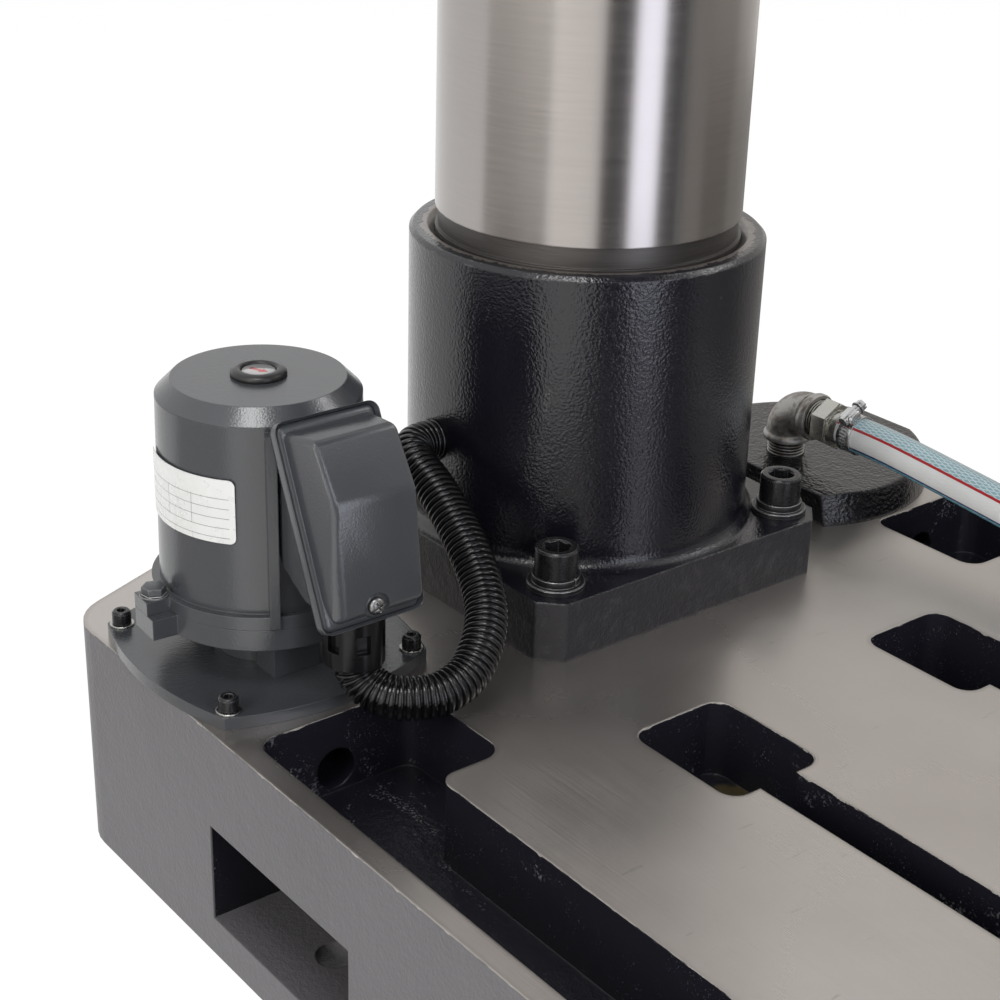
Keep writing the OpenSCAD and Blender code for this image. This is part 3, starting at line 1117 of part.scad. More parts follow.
// Coolant nozzle: a tap on the head's right side and a jointed tube to the spindle
tap_front = 50;
tap_up = 30;
tap_at = [head_w / 2, -throat - tap_front, head_z + tap_up];
bead_route = [[18, 0, -10], [22, 0, -40], [22, -4, -70], [16, -8, -98], [2, -10, -122], [-18, -4, -142],
    [-38, 6, -158], [-56, 18, -174]];
module bead(a, b) {
    d = unit(b - a);
    translate(a) rotate([0, acos(d.z), atan2(d.y, d.x)]) {
        sphere(r = 8.5);
        cylinder(r1 = 8.5, r2 = 6.5, h = norm(b - a));
    }
}
module coolant_nozzle() color([0.85, 0.4, 0.1]) translate(tap_at) {
    along_x() cylinder(r = 13, h = 30);
    translate([18, 0, -12]) cylinder(r = 10, h = 24);
    for (i = [0 : len(bead_route) - 2]) bead(bead_route[i], bead_route[i + 1]);
}

base_casting();
column_socket();
column();
flange_bolts();
flange_washers();
rack();
rack_screws();
return_plate();
return_elbow();
hose_tail();
hose_clamp();
drain_hose();
pump_flange();
pump_bolts();
pump_washers();
pump_bracket();
pump_shell();
pump_cap();
cap_grommet();
sight_disc();
lug_screws();
pump_stator();
pump_rotor();
terminal_box();
terminal_lid();
lid_screw();
conduit_gland();
conduit();
coolant_riser();
table_bracket();
column_lock();
drain_fitting();
crank();
crank_grip();
work_table();
table_lock();
head_casting();
head_cover();
motor_body();
fan_cover();
motor_rotor();
lay_gears();
spindle_gear();
quill();
spindle();
quill_bearings();
feed_hub();
feed_levers();
feed_knobs();
depth_dial();
spring_housing();
speed_lever();
range_lever();
control_panel();
start_button();
stop_button();
emergency_stop();
coolant_switch();
chuck_guard();
coolant_nozzle();
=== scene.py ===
import math
import bpy
from mathutils import Matrix, Vector


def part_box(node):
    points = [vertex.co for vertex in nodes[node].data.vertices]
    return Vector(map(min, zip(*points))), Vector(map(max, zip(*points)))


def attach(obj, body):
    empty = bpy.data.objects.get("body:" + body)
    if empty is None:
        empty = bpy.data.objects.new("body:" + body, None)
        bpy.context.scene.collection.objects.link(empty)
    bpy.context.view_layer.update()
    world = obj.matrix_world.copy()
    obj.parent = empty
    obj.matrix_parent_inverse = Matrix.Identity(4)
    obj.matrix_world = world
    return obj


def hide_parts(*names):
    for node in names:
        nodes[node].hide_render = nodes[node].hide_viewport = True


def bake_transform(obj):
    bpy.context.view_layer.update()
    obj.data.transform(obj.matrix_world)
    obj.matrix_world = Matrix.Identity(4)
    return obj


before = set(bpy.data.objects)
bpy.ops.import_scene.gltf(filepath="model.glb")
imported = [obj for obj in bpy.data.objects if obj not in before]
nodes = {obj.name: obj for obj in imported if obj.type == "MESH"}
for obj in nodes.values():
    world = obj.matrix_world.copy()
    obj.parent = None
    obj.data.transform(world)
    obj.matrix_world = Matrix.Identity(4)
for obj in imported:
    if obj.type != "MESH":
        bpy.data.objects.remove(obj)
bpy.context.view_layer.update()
bpy.ops.object.select_all(action="DESELECT")
mm = 0.001
topZ = 0.120  # the machined top of the base
pumpAt = (-190, -2)  # the pump's axis, mm
mergeWithin = 0.000001


# camera, where the photograph was taken from

camera = {"place": (-0.5998, -0.6862, 0.558), "lens": 68.85, "sensor": 36, "clip": 0.01,
          "yaw": 0.8952, "pitch": 0.4258, "roll": 0.0295}  # radians


def placeCamera():
    yaw, pitch, roll = camera["yaw"], camera["pitch"], camera["roll"]
    ahead = Vector((math.cos(yaw) * math.cos(pitch), math.sin(yaw) * math.cos(pitch), -math.sin(pitch)))
    level = Vector((math.sin(yaw), -math.cos(yaw), 0))
    lift = level.cross(ahead)
    right = level * math.cos(roll) + lift * math.sin(roll)
    up = lift * math.cos(roll) - level * math.sin(roll)
    bpy.ops.object.camera_add(location=camera["place"])
    shot = bpy.context.object
    shot.name = "camera"
    turn = Matrix((right, up, -ahead)).transposed().to_4x4()
    shot.matrix_world = Matrix.Translation(camera["place"]) @ turn
    shot.data.lens = camera["lens"]
    shot.data.sensor_width = camera["sensor"]
    shot.data.clip_start = camera["clip"]
    bpy.context.scene.camera = shot
    bpy.context.scene.view_settings.view_transform = "Standard"
    bpy.ops.object.select_all(action="DESELECT")


placeCamera()
print("camera placed")


# modelling helpers, in mm and degrees


def pick(*chosen):
    if bpy.context.object and bpy.context.object.mode != "OBJECT":
        bpy.ops.object.mode_set(mode="OBJECT")
    bpy.ops.object.select_all(action="DESELECT")
    for obj in chosen:
        obj.select_set(True)
    if chosen:
        bpy.context.view_layer.objects.active = chosen[0]


def named(name):
    piece = bpy.context.object
    piece.name = name
    return piece


def settle(piece):  # its place goes into its mesh
    pick(piece)
    bpy.ops.object.transform_apply(location=True, rotation=True, scale=True)
    return piece


def place(piece, at=(0, 0, 0), turn=(0, 0, 0)):
    piece.rotation_euler = [math.radians(a) for a in turn]
    piece.location = [c * mm for c in at]
    return settle(piece)


def closeUp():  # leaves edit mode with doubles merged and the faces outwards
    bpy.ops.mesh.select_all(action="SELECT")
    bpy.ops.mesh.remove_doubles(threshold=mergeWithin)
    bpy.ops.mesh.normals_make_consistent(inside=False)
    bpy.ops.object.mode_set(mode="OBJECT")


def turned(name, rings, sides=48):  # rings are (radius, height), and a ring of radius 0 closes the end
    pick()
    r0, z0 = rings[0]
    bpy.ops.mesh.primitive_circle_add(vertices=sides, radius=r0 * mm, fill_type="NGON",
                                      location=(0, 0, z0 * mm))
    piece = named(name)
    settle(piece)
    bpy.ops.object.mode_set(mode="EDIT")
    bpy.ops.mesh.select_all(action="SELECT")
    for (ra, za), (rb, zb) in zip(rings, rings[1:]):
        bpy.ops.mesh.extrude_region_move(TRANSFORM_OT_translate={"value": (0, 0, (zb - za) * mm)})
        if rb != ra:
            bpy.ops.transform.resize(value=(rb / ra, rb / ra, 1), center_override=(0, 0, zb * mm))
    closeUp()
    return piece


def block(name, low, high):
    pick()
    bpy.ops.mesh.primitive_cube_add(size=1, location=[(a + b) / 2 * mm for a, b in zip(low, high)])
    piece = named(name)
    piece.scale = [(b - a) * mm for a, b in zip(low, high)]
    return settle(piece)


def rod(name, radius, length, sides=48):  # along Z from the origin
    pick()
    bpy.ops.mesh.primitive_cylinder_add(vertices=sides, radius=radius * mm, depth=length * mm,
                                        location=(0, 0, length / 2 * mm))
    return settle(named(name))


def soften(piece, width, segments=2, angle=35):
    pick(piece)
    ease = piece.modifiers.new("ease", "BEVEL")
    ease.width = width * mm
    ease.segments = segments
    ease.limit_method = "ANGLE"
    ease.angle_limit = math.radians(angle)
    bpy.ops.object.modifier_apply(modifier="ease")
    return piece


def cutBy(piece, other):
    pick(piece)
    cut = piece.modifiers.new("cut", "BOOLEAN")
    cut.operation = "DIFFERENCE"
    cut.object = other
    cut.solver = "EXACT"
    bpy.ops.object.modifier_apply(modifier="cut")
    pick(other)
    bpy.ops.object.delete()
    return piece


def another(piece, at=(0, 0, 0), turn=(0, 0, 0)):  # a copy with its own mesh
    pick(piece)
    bpy.ops.object.duplicate(linked=False)
    return place(bpy.context.object, at, turn)


def together(name, *parts):
    pick(*parts)
    bpy.ops.object.join()
    return named(name)


def drop(*spares):
    pick(*spares)
    bpy.ops.object.delete()


def hulled(name, *parts):  # the convex skin round some pieces
    piece = together(name, *parts)
    bpy.ops.object.mode_set(mode="EDIT")
    bpy.ops.mesh.select_all(action="SELECT")
    bpy.ops.mesh.convex_hull()
    bpy.ops.mesh.select_all(action="SELECT")
    bpy.ops.mesh.dissolve_limited(angle_limit=math.radians(2))
    closeUp()
    return piece


def spun(name, low, high, sweep, steps, start=0.0):  # a flat rectangle (radius, height) swept about Z
    pick()
    out, up = [(a + b) / 2 for a, b in zip(low, high)]
    bpy.ops.mesh.primitive_plane_add(size=1, location=(out * mm, 0, up * mm), rotation=(math.pi / 2, 0, 0))
    piece = named(name)
    piece.scale = ((high[0] - low[0]) * mm, (high[1] - low[1]) * mm, 1)
    settle(piece)
    bpy.ops.object.mode_set(mode="EDIT")
    bpy.ops.mesh.select_all(action="SELECT")
    # spin turns clockwise, so the angle is negative
    bpy.ops.mesh.spin(steps=steps, angle=-math.radians(sweep), center=(0, 0, 0), axis=(0, 0, 1))
    bpy.ops.mesh.select_all(action="SELECT")
    bpy.ops.mesh.remove_doubles(threshold=mergeWithin)
    bpy.ops.mesh.select_all(action="DESELECT")
    bpy.ops.mesh.select_non_manifold()
    bpy.ops.mesh.edge_face_add()
    closeUp()
    return place(piece, turn=(0, 0, start))


def fit(piece, body, replaced=(), angle=32):
    pick(piece)
    bpy.ops.object.shade_smooth_by_angle(angle=math.radians(angle))
    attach(piece, body)
    if replaced:
        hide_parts(*replaced)
    pick()
    return piece


def route(points, steps):  # the smooth line through the points, as in the CAD source, in metres
    line = []
    last = len(points) - 1
    for i in range(last):
        a, b, c, d = (Vector(points[k]) for k in (max(0, i - 1), i, i + 1, min(last, i + 2)))
        for k in range(steps):
            t = k / steps
            square = (2 * a - 5 * b + 4 * c - d) * t * t
            cube = (3 * b - a - 3 * c + d) * t ** 3
            line.append(0.5 * (2 * b + (c - a) * t + square + cube))
    line.append(Vector(points[last]))
    return [(p + Vector((0, 0, topZ / mm))) * mm for p in line]


def lengthOf(line):
    return sum((b - a).length for a, b in zip(line, line[1:]))


def follow(piece, line):  # bends a piece that lies along X from the origin onto the line
    shape = bpy.data.curves.new("guide", "CURVE")
    shape.dimensions = "3D"
    shape.twist_mode = "MINIMUM"
    spline = shape.splines.new("POLY")
    spline.points.add(len(line) - 1)
    for point, at in zip(spline.points, line):
        point.co = (*at, 1)
    curve = bpy.data.objects.new("guide", shape)
    bpy.context.scene.collection.objects.link(curve)
    pick(piece)
    bend = piece.modifiers.new("bend", "CURVE")
    bend.object = curve
    bend.deform_axis = "POS_X"
    bpy.ops.object.modifier_apply(modifier="bend")
    bpy.data.objects.remove(curve)
    return piece


# drain hose: a tube that keeps its straight coordinates for the braid and the stripes

hose = {"outer": 10.0, "bore": 7.05, "sides": 40, "rings": 220,
        "route": [(158, -43, 44), (158, -54, 44), (158, -65, 44), (158, -79, 43.6), (158, -99, 42.3),
                  (158, -121, 40.6), (158, -147.2, 38.5), (158, -173.9, 36.2), (158, -200.7, 34.1),
                  (158, -227.4, 32.3), (158, -254.2, 31), (158, -281, 30.4), (158, -307.8, 31),
                  (158, -334.2, 35.5), (158, -358.7, 46.1), (158, -379.6, 62.8), (158, -395.6, 84.2),
                  (158, -405.4, 109.1), (157.9, -408.9, 135.6), (157.4, -408.1, 162.4),
                  (156.5, -404.9, 189), (155.5, -400.1, 215.3), (154.3, -394.4, 241.5),
                  (153.1, -388.1, 267.5), (151.7, -381.4, 293.5), (150.1, -374.4, 319.3),
                  (148.4, -367.5, 345.1), (146.7, -361.3, 371.2), (145.1, -355.6, 397.3),
                  (143.4, -350.4, 423.6), (141.7, -345.2, 448.5), (140.5, -341.4, 472), (140, -340, 494),
                  (140, -340, 506), (140, -340, 526)]}


def wallUp(piece, thickness):
    pick(piece)
    wall = piece.modifiers.new("wall", "SOLIDIFY")
    wall.thickness = thickness * mm
    wall.offset = -1
    bpy.ops.object.modifier_apply(modifier="wall")


def makeHose():
    line = route(hose["route"], 10)
    total = lengthOf(line)
    pick()
    bpy.ops.mesh.primitive_circle_add(vertices=hose["sides"], radius=hose["outer"] * mm, fill_type="NOTHING",
                                      rotation=(0, math.pi / 2, 0))
    tube = settle(named("drainHose"))
    bpy.ops.object.mode_set(mode="EDIT")
    bpy.ops.mesh.select_all(action="SELECT")
    step = total / hose["rings"]
    for i in range(hose["rings"]):
        bpy.ops.mesh.extrude_region_move(TRANSFORM_OT_translate={"value": (step, 0, 0)})
    closeUp()
    flat = tube.data.attributes.new("flat", "FLOAT_VECTOR", "POINT")
    for i, point in enumerate(tube.data.vertices):
        flat.data[i].vector = point.co
    follow(tube, line)
    wallUp(tube, hose["outer"] - hose["bore"])
    pick(tube)
    bpy.ops.object.shade_smooth_by_angle(angle=math.radians(40))
    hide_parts("drain_hose")
    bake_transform(tube)
    pick()
    return tube


# conduit: one rib, repeated and bent onto its route

conduit = {"outer": 10.0, "root": 8.5, "pitch": 3.1, "sides": 28, "wall": 0.9,
           "route": [(-190, -76, 46), (-190, -76, 38), (-190, -76, 30), (-189, -78, 21.5),
                     (-186, -84, 15.3), (-181, -92, 12.8), (-171.5, -98.5, 12.3), (-160, -102, 13),
                     (-146, -101, 17), (-134, -95, 25), (-124, -85, 33), (-117, -72, 41), (-113, -58, 50),
                     (-110, -43, 58), (-108, -28, 66), (-107.5, -18, 71), (-107.5, -9, 75),
                     (-105.5, -1, 77.5), (-100.5, 4.3, 79), (-93, 6.3, 79.3), (-84, 5.9, 79),
                     (-76, 5.3, 79)]}


def makeConduit():
    line = route(conduit["route"], 12)
    total = lengthOf(line)
    count = round(total / (conduit["pitch"] * mm))
    pitch = total / count
    out, root = conduit["outer"], conduit["root"]
    shape = [(root, 0), (root, 0.12), (out - 0.3, 0.2), (out, 0.32), (out, 0.68), (out - 0.3, 0.8),
             (root, 0.88), (root, 1)]  # radius and share of the pitch
    pick()
    bpy.ops.mesh.primitive_circle_add(vertices=conduit["sides"], radius=root * mm, fill_type="NOTHING",
                                      rotation=(0, math.pi / 2, 0))
    rib = settle(named("conduitTube"))
    bpy.ops.object.mode_set(mode="EDIT")
    bpy.ops.mesh.select_all(action="SELECT")
    for (ra, xa), (rb, xb) in zip(shape, shape[1:]):
        bpy.ops.mesh.extrude_region_move(TRANSFORM_OT_translate={"value": ((xb - xa) * pitch, 0, 0)})
        if rb != ra:
            bpy.ops.transform.resize(value=(1, rb / ra, rb / ra), center_override=(xb * pitch, 0, 0))
    closeUp()
    many = rib.modifiers.new("many", "ARRAY")
    many.count = count
    many.use_relative_offset = False
    many.use_constant_offset = True
    many.constant_offset_displace = (pitch, 0, 0)
    many.use_merge_vertices = True
    many.merge_threshold = 0.00001
    bpy.ops.object.modifier_apply(modifier="many")
    follow(rib, line)
    wallUp(rib, conduit["wall"])
    fit(rib, "machine", ["conduit"], 60)
    return rib


drainHose = makeHose()
conduitTube = makeConduit()
print("cords made")


# materials: a Wire is one socket, and sums on wires add their own Math nodes


class Wire:
    def __init__(self, finish, socket):
        self.finish = finish
        self.socket = socket

    def calc(self, operation, *others):
        return self.finish.add("ShaderNodeMath", {"operation": operation}, dict(enumerate((self, *others))))

    def __add__(self, other):
        return self.calc("ADD", other)

    def __sub__(self, other):
        return self.calc("SUBTRACT", other)

    def __rsub__(self, other):
        return self.finish.add("ShaderNodeMath", {"operation": "SUBTRACT"}, {0: other, 1: self})

    def __mul__(self, other):
        return self.calc("MULTIPLY", other)

    def __mod__(self, other):
        return self.calc("MODULO", other)

    def __truediv__(self, other):
        return self.calc("DIVIDE", other)

    def __gt__(self, other):
        return self.calc("GREATER_THAN", other)

    def __lt__(self, other):
        return self.calc("LESS_THAN", other)

    def __abs__(self):
        return self.calc("ABSOLUTE")

    __radd__ = __add__
    __rmul__ = __mul__

    def ramp(self, low, high, start=0.0, end=1.0):  # a smooth step
        sockets = {"Value": self, "From Min": low, "From Max": high, "To Min": start, "To Max": end}
        settings = {"clamp": True, "interpolation_type": "SMOOTHSTEP"}
        return self.finish.add("ShaderNodeMapRange", settings, sockets)

    def near(self, middle, half, soft):  # 1 within half of the middle
        return abs(self - middle).ramp(half + soft, half - soft)


class Finish:
    def __init__(self, name, owner=None):
        self.material = owner or bpy.data.materials.new(name)
        self.material.use_nodes = True
        self.tree = self.material.node_tree
        self.tree.nodes.clear()

    def locate(self, spot=None):  # object coordinates, or a piece's own attribute
        if spot:
            self.place = self.add("ShaderNodeAttribute", {"attribute_name": spot}, out="Vector")
        else:
            self.place = self.add("ShaderNodeTexCoord", out="Object")
        self.x, self.y, self.z = self.split(self.place)
        return self

    def add(self, kind, settings=None, sockets=None, out=0):
        node = self.tree.nodes.new(kind)
        for key, value in (settings or {}).items():
            setattr(node, key, value)
        for key, value in (sockets or {}).items():
            if isinstance(value, Wire):
                self.tree.links.new(value.socket, node.inputs[key])
            else:
                node.inputs[key].default_value = value
        return Wire(self, node.outputs[out]) if node.outputs else None

    def split(self, vector):
        node = self.add("ShaderNodeSeparateXYZ", sockets={0: vector}).socket.node
        return [Wire(self, node.outputs[i]) for i in range(3)]

    def join(self, x, y, z):
        return self.add("ShaderNodeCombineXYZ", sockets={0: x, 1: y, 2: z})

    def noise(self, scale, detail=2.0, roughness=0.5, stretch=None):
        vector = self.place
        if stretch:
            vector = self.add("ShaderNodeMapping", sockets={"Vector": vector, "Scale": stretch})
        sockets = {"Vector": vector, "Scale": scale, "Detail": detail, "Roughness": roughness}
        return self.add("ShaderNodeTexNoise", {}, sockets)

    def mix(self, mask, first, second):
        first, second = (c if isinstance(c, Wire) else (*c, 1) for c in (first, second))
        settings = {"data_type": "RGBA", "clamp_factor": True}
        return self.add("ShaderNodeMix", settings, {0: mask, 6: first, 7: second}, out=2)

    def tone(self, colour, low, high, mask):  # a colour between a darker and a lighter one
        return self.mix(mask, [c * low for c in colour], [c * high for c in colour])

    def facing(self):
        return self.split(self.add("ShaderNodeNewGeometry", out="Normal"))

    def rounded(self, radius):  # the normal with its edges eased
        return self.add("ShaderNodeBevel", {"samples": 4}, {"Radius": radius})

    def edges(self, radius, low=0.985, high=0.9):  # 1 on the sharp edges
        true = self.add("ShaderNodeNewGeometry", out="True Normal")
        sockets = {0: self.rounded(radius), 1: true}
        match = self.add("ShaderNodeVectorMath", {"operation": "DOT_PRODUCT"}, sockets, "Value")
        return match.ramp(low, high)

    def angle(self, middle):  # degrees about an upright axis
        return (self.y - middle[1] * mm).calc("ARCTAN2", self.x - middle[0] * mm) * math.degrees(1)

    def away(self, u, v):  # the distance from u = v = 0
        return self.add("ShaderNodeVectorMath", {"operation": "LENGTH"}, {0: self.join(u, v, 0.0)}, "Value")

    def bump(self, height, strength, distance, normal=None):
        sockets = {"Strength": strength, "Distance": distance, "Height": height}
        if normal:
            sockets["Normal"] = normal
        return self.add("ShaderNodeBump", {}, sockets)

    def done(self, colour, roughness=0.5, metallic=0.0, normal=None, **more):
        sockets = {"Base Color": colour, "Roughness": roughness, "Metallic": metallic}
        if normal:
            sockets["Normal"] = normal
        sockets.update({key.replace("_", " "): value for key, value in more.items()})
        shader = self.add("ShaderNodeBsdfPrincipled", {}, sockets)
        self.add("ShaderNodeOutputMaterial", {}, {"Surface": shader})
        return self.material


def topOf(node):
    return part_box(node)[1][2]


def castPaint(name, look):  # thick orange-peel paint over a rough casting
    f = Finish(name).locate()
    ease = look.get("ease", 0.0015)
    peel = f.noise(look["peel"], 2, 0.5)
    lumps = f.noise(look["peel"] * look.get("lumpy", 0.3), 2)
    normal = f.bump(peel + lumps * look.get("lumps", 0.6), look["depth"], 0.0012, f.rounded(ease))
    shade = f.tone(look["colour"], 0.9, 1.1, f.noise(9, 3))
    if look.get("wear"):
        worn = f.edges(ease) * f.noise(520, 4, 0.6).ramp(0.52, 0.62) * look["wear"]
        shade = f.mix(worn, shade, look.get("bare", (0.3, 0.3, 0.3)))
    vary = look.get("vary", 0.04)
    rough = f.noise(look["peel"] * 0.5, 2).ramp(0.3, 0.7, look["gloss"] - vary, look["gloss"] + vary)
    return f.done(shade, rough, normal=normal, Specular_IOR_Level=look.get("shine", 0.5))


socketLook = {"colour": (0.0062, 0.0060, 0.0095), "sawn": (0.035, 0.035, 0.038), "worn": (0.2, 0.2, 0.2),
              "iron": (0.27, 0.248, 0.232), "peel": 720, "top": topOf("column_socket"),
              "flangeTop": topZ + 0.0295, "bareTo": 0.0815}


def socketPaint():  # the cast socket: glossy blue-black, bare round its mouth
    k = socketLook
    f = Finish("socketPaint").locate()
    nz = f.facing()[2]
    peel = f.noise(k["peel"], 2, 0.5)
    lumps = f.noise(k["peel"] * 0.3, 2)
    rough = f.noise(150, 4, 0.65)
    foot = (f.z < k["flangeTop"]) * (abs(nz) < 0.5)  # the flange's sawn-looking sides
    away = f.away(f.x, f.y)
    mouth = (nz > 0.6) * (f.z > k["top"] - 0.004)
    chips = f.noise(110, 5, 0.7)
    bareTop = mouth * (k["bareTo"] + (chips - 0.5) * 0.010 - away).ramp(-0.0006, 0.0006)
    scratches = f.noise(60, 3, 0.6, stretch=(1, 1, 0.25)).ramp(0.66, 0.69) * f.noise(900, 2).ramp(0.5, 0.7)
    worn = f.edges(0.0012) * chips.ramp(0.55, 0.62) * 0.5
    shade = f.tone(k["colour"], 0.88, 1.12, f.noise(9, 3))
    shade = f.mix(foot * rough.ramp(0.5, 0.7) * 0.5, shade, k["sawn"])
    shade = f.mix(worn + scratches * 0.25, shade, k["worn"])
    iron = f.tone(k["iron"], 0.5, 1.35, f.noise(500, 4, 0.6))
    colour = f.mix(bareTop, shade, iron)
    height = (1 - bareTop) * (peel + lumps * 0.3 + foot * rough * 2.2)
    gloss = peel.ramp(0.3, 0.7, 0.11, 0.16) + foot * 0.24 + bareTop * 0.2
    normal = f.bump(height, 0.3, 0.0009, f.rounded(0.0016))
    return f.done(colour, gloss, bareTop * 0.8, normal, Specular_IOR_Level=0.6)


def steel(name, look):  # bright or dark metal with fine lines along one axis or none
    f = Finish(name).locate()
    ease = look.get("ease", 0.0005)
    grain = f.noise(look["grain"], 4, 0.6, stretch=look.get("stretch"))
    shade = f.tone(look["colour"], look.get("low", 0.8), 1, grain * 0.5 + f.noise(30, 3) * 0.5)
    colour = f.mix(f.edges(ease) * look.get("wear", 0.0), shade, look.get("bare", (0.75, 0.74, 0.72)))
    rough = grain.ramp(0.3, 0.7, look["gloss"] - 0.06, look["gloss"] + 0.06)
    normal = f.bump(grain, look.get("depth", 0.1), 0.0003, f.rounded(ease))
    return f.done(colour, rough, look.get("metal", 1.0), normal)


groundLook = {"colour": (0.395, 0.371, 0.356), "foot": (0.10, 0.094, 0.09),
              "footTop": topOf("column_socket") + 0.0098}


def groundSteel(name, foot):  # ground round its axis, so lamps draw upright streaks
    f = Finish(name).locate()
    lines = f.noise(26, 4, 0.7, stretch=(1, 1, 34))
    bands = f.noise(10, 2, stretch=(0.2, 0.2, 4))
    shade = f.tone(groundLook["colour"], 0.84, 1.04, lines * 0.7 + bands * 0.3)
    rough = lines.ramp(0.3, 0.7, 0.215, 0.245)
    if foot:  # left unground just above the socket
        dull = (f.z < foot) * 1.0
        scale = f.noise(60, 4, 0.6, stretch=(1, 1, 30))
        shade = f.mix(dull, shade, f.tone(groundLook["foot"], 0.6, 1.2, scale))
        rough = rough + dull * 0.2
    normal = f.bump(lines, 0.01, 0.0002, f.rounded(0.0008))
    return f.done(shade, rough, 1.0, normal, Anisotropic=0.5, Anisotropic_Rotation=0.25)


# zinc of the coolant return, with painted shade at the roots of its two pipe threads

zincLook = {"axis": (0.158, topZ + 0.044), "crest": 0.0103, "root": 0.0098, "upTo": topZ + 0.0245,
            "backTo": -0.0275, "cast": (0.44, 0.43, 0.41), "stain": (0.14, 0.11, 0.085),
            "bright": (0.50, 0.495, 0.455)}


def threadRootShade(f, u, v):  # 1 at the root of a thread whose axis is at u = v = 0, where painted shade goes
    return f.away(u, v).ramp(zincLook["crest"], zincLook["root"])


def galvanised():  # dull zinc over cast iron, stained
    k = zincLook
    f = Finish("galvanised").locate()
    grain = f.noise(420, 4, 0.65)
    stains = f.noise(95, 5, 0.65).ramp(0.46, 0.62)
    shade = f.tone(k["cast"], 0.6, 1.15, grain)
    shade = f.mix(stains * 0.7, shade, k["stain"])
    # painted shade: the thread roots are darkened to near black
    root = (f.z < k["upTo"]) * threadRootShade(f, f.x - k["axis"][0], f.y)
    shade = f.mix(root, shade, (0.02, 0.017, 0.015))
    normal = f.bump(grain + f.noise(130, 2), 0.4, 0.0006, f.rounded(0.0003))
    return f.done(shade, grain.ramp(0.3, 0.7, 0.36, 0.5), 0.8, normal)


def zincFitting():  # smooth bright zinc, with painted shade in the thread
    k = zincLook
    f = Finish("zincFitting").locate()
    fine = f.noise(160, 3, 0.5)
    shade = f.tone(k["bright"], 0.8, 1, fine)
    # painted shade: the thread roots are darkened to near black
    root = (f.y > k["backTo"]) * threadRootShade(f, f.x - k["axis"][0], f.z - k["axis"][1])
    shade = f.mix(root, shade, (0.03, 0.028, 0.025))
    normal = f.bump(fine, 0.05, 0.0003, f.rounded(0.0004))
    return f.done(shade, fine.ramp(0.3, 0.7, 0.24, 0.32), 0.95, normal)


def plastic(name, look):
    f = Finish(name).locate()
    fine = f.noise(look.get("grain", 900), 3)
    shade = f.tone(look["colour"], 0.85, 1, f.noise(40, 2))
    normal = f.bump(fine, look.get("depth", 0.08), 0.0003, f.rounded(look.get("ease", 0.0006)))
    rough = fine.ramp(0.3, 0.7, look["gloss"] - 0.05, look["gloss"] + 0.05)
    more = {"Alpha": look["alpha"]} if "alpha" in look else {}
    return f.done(shade, rough, normal=normal, Specular_IOR_Level=look.get("shine", 0.5), **more)


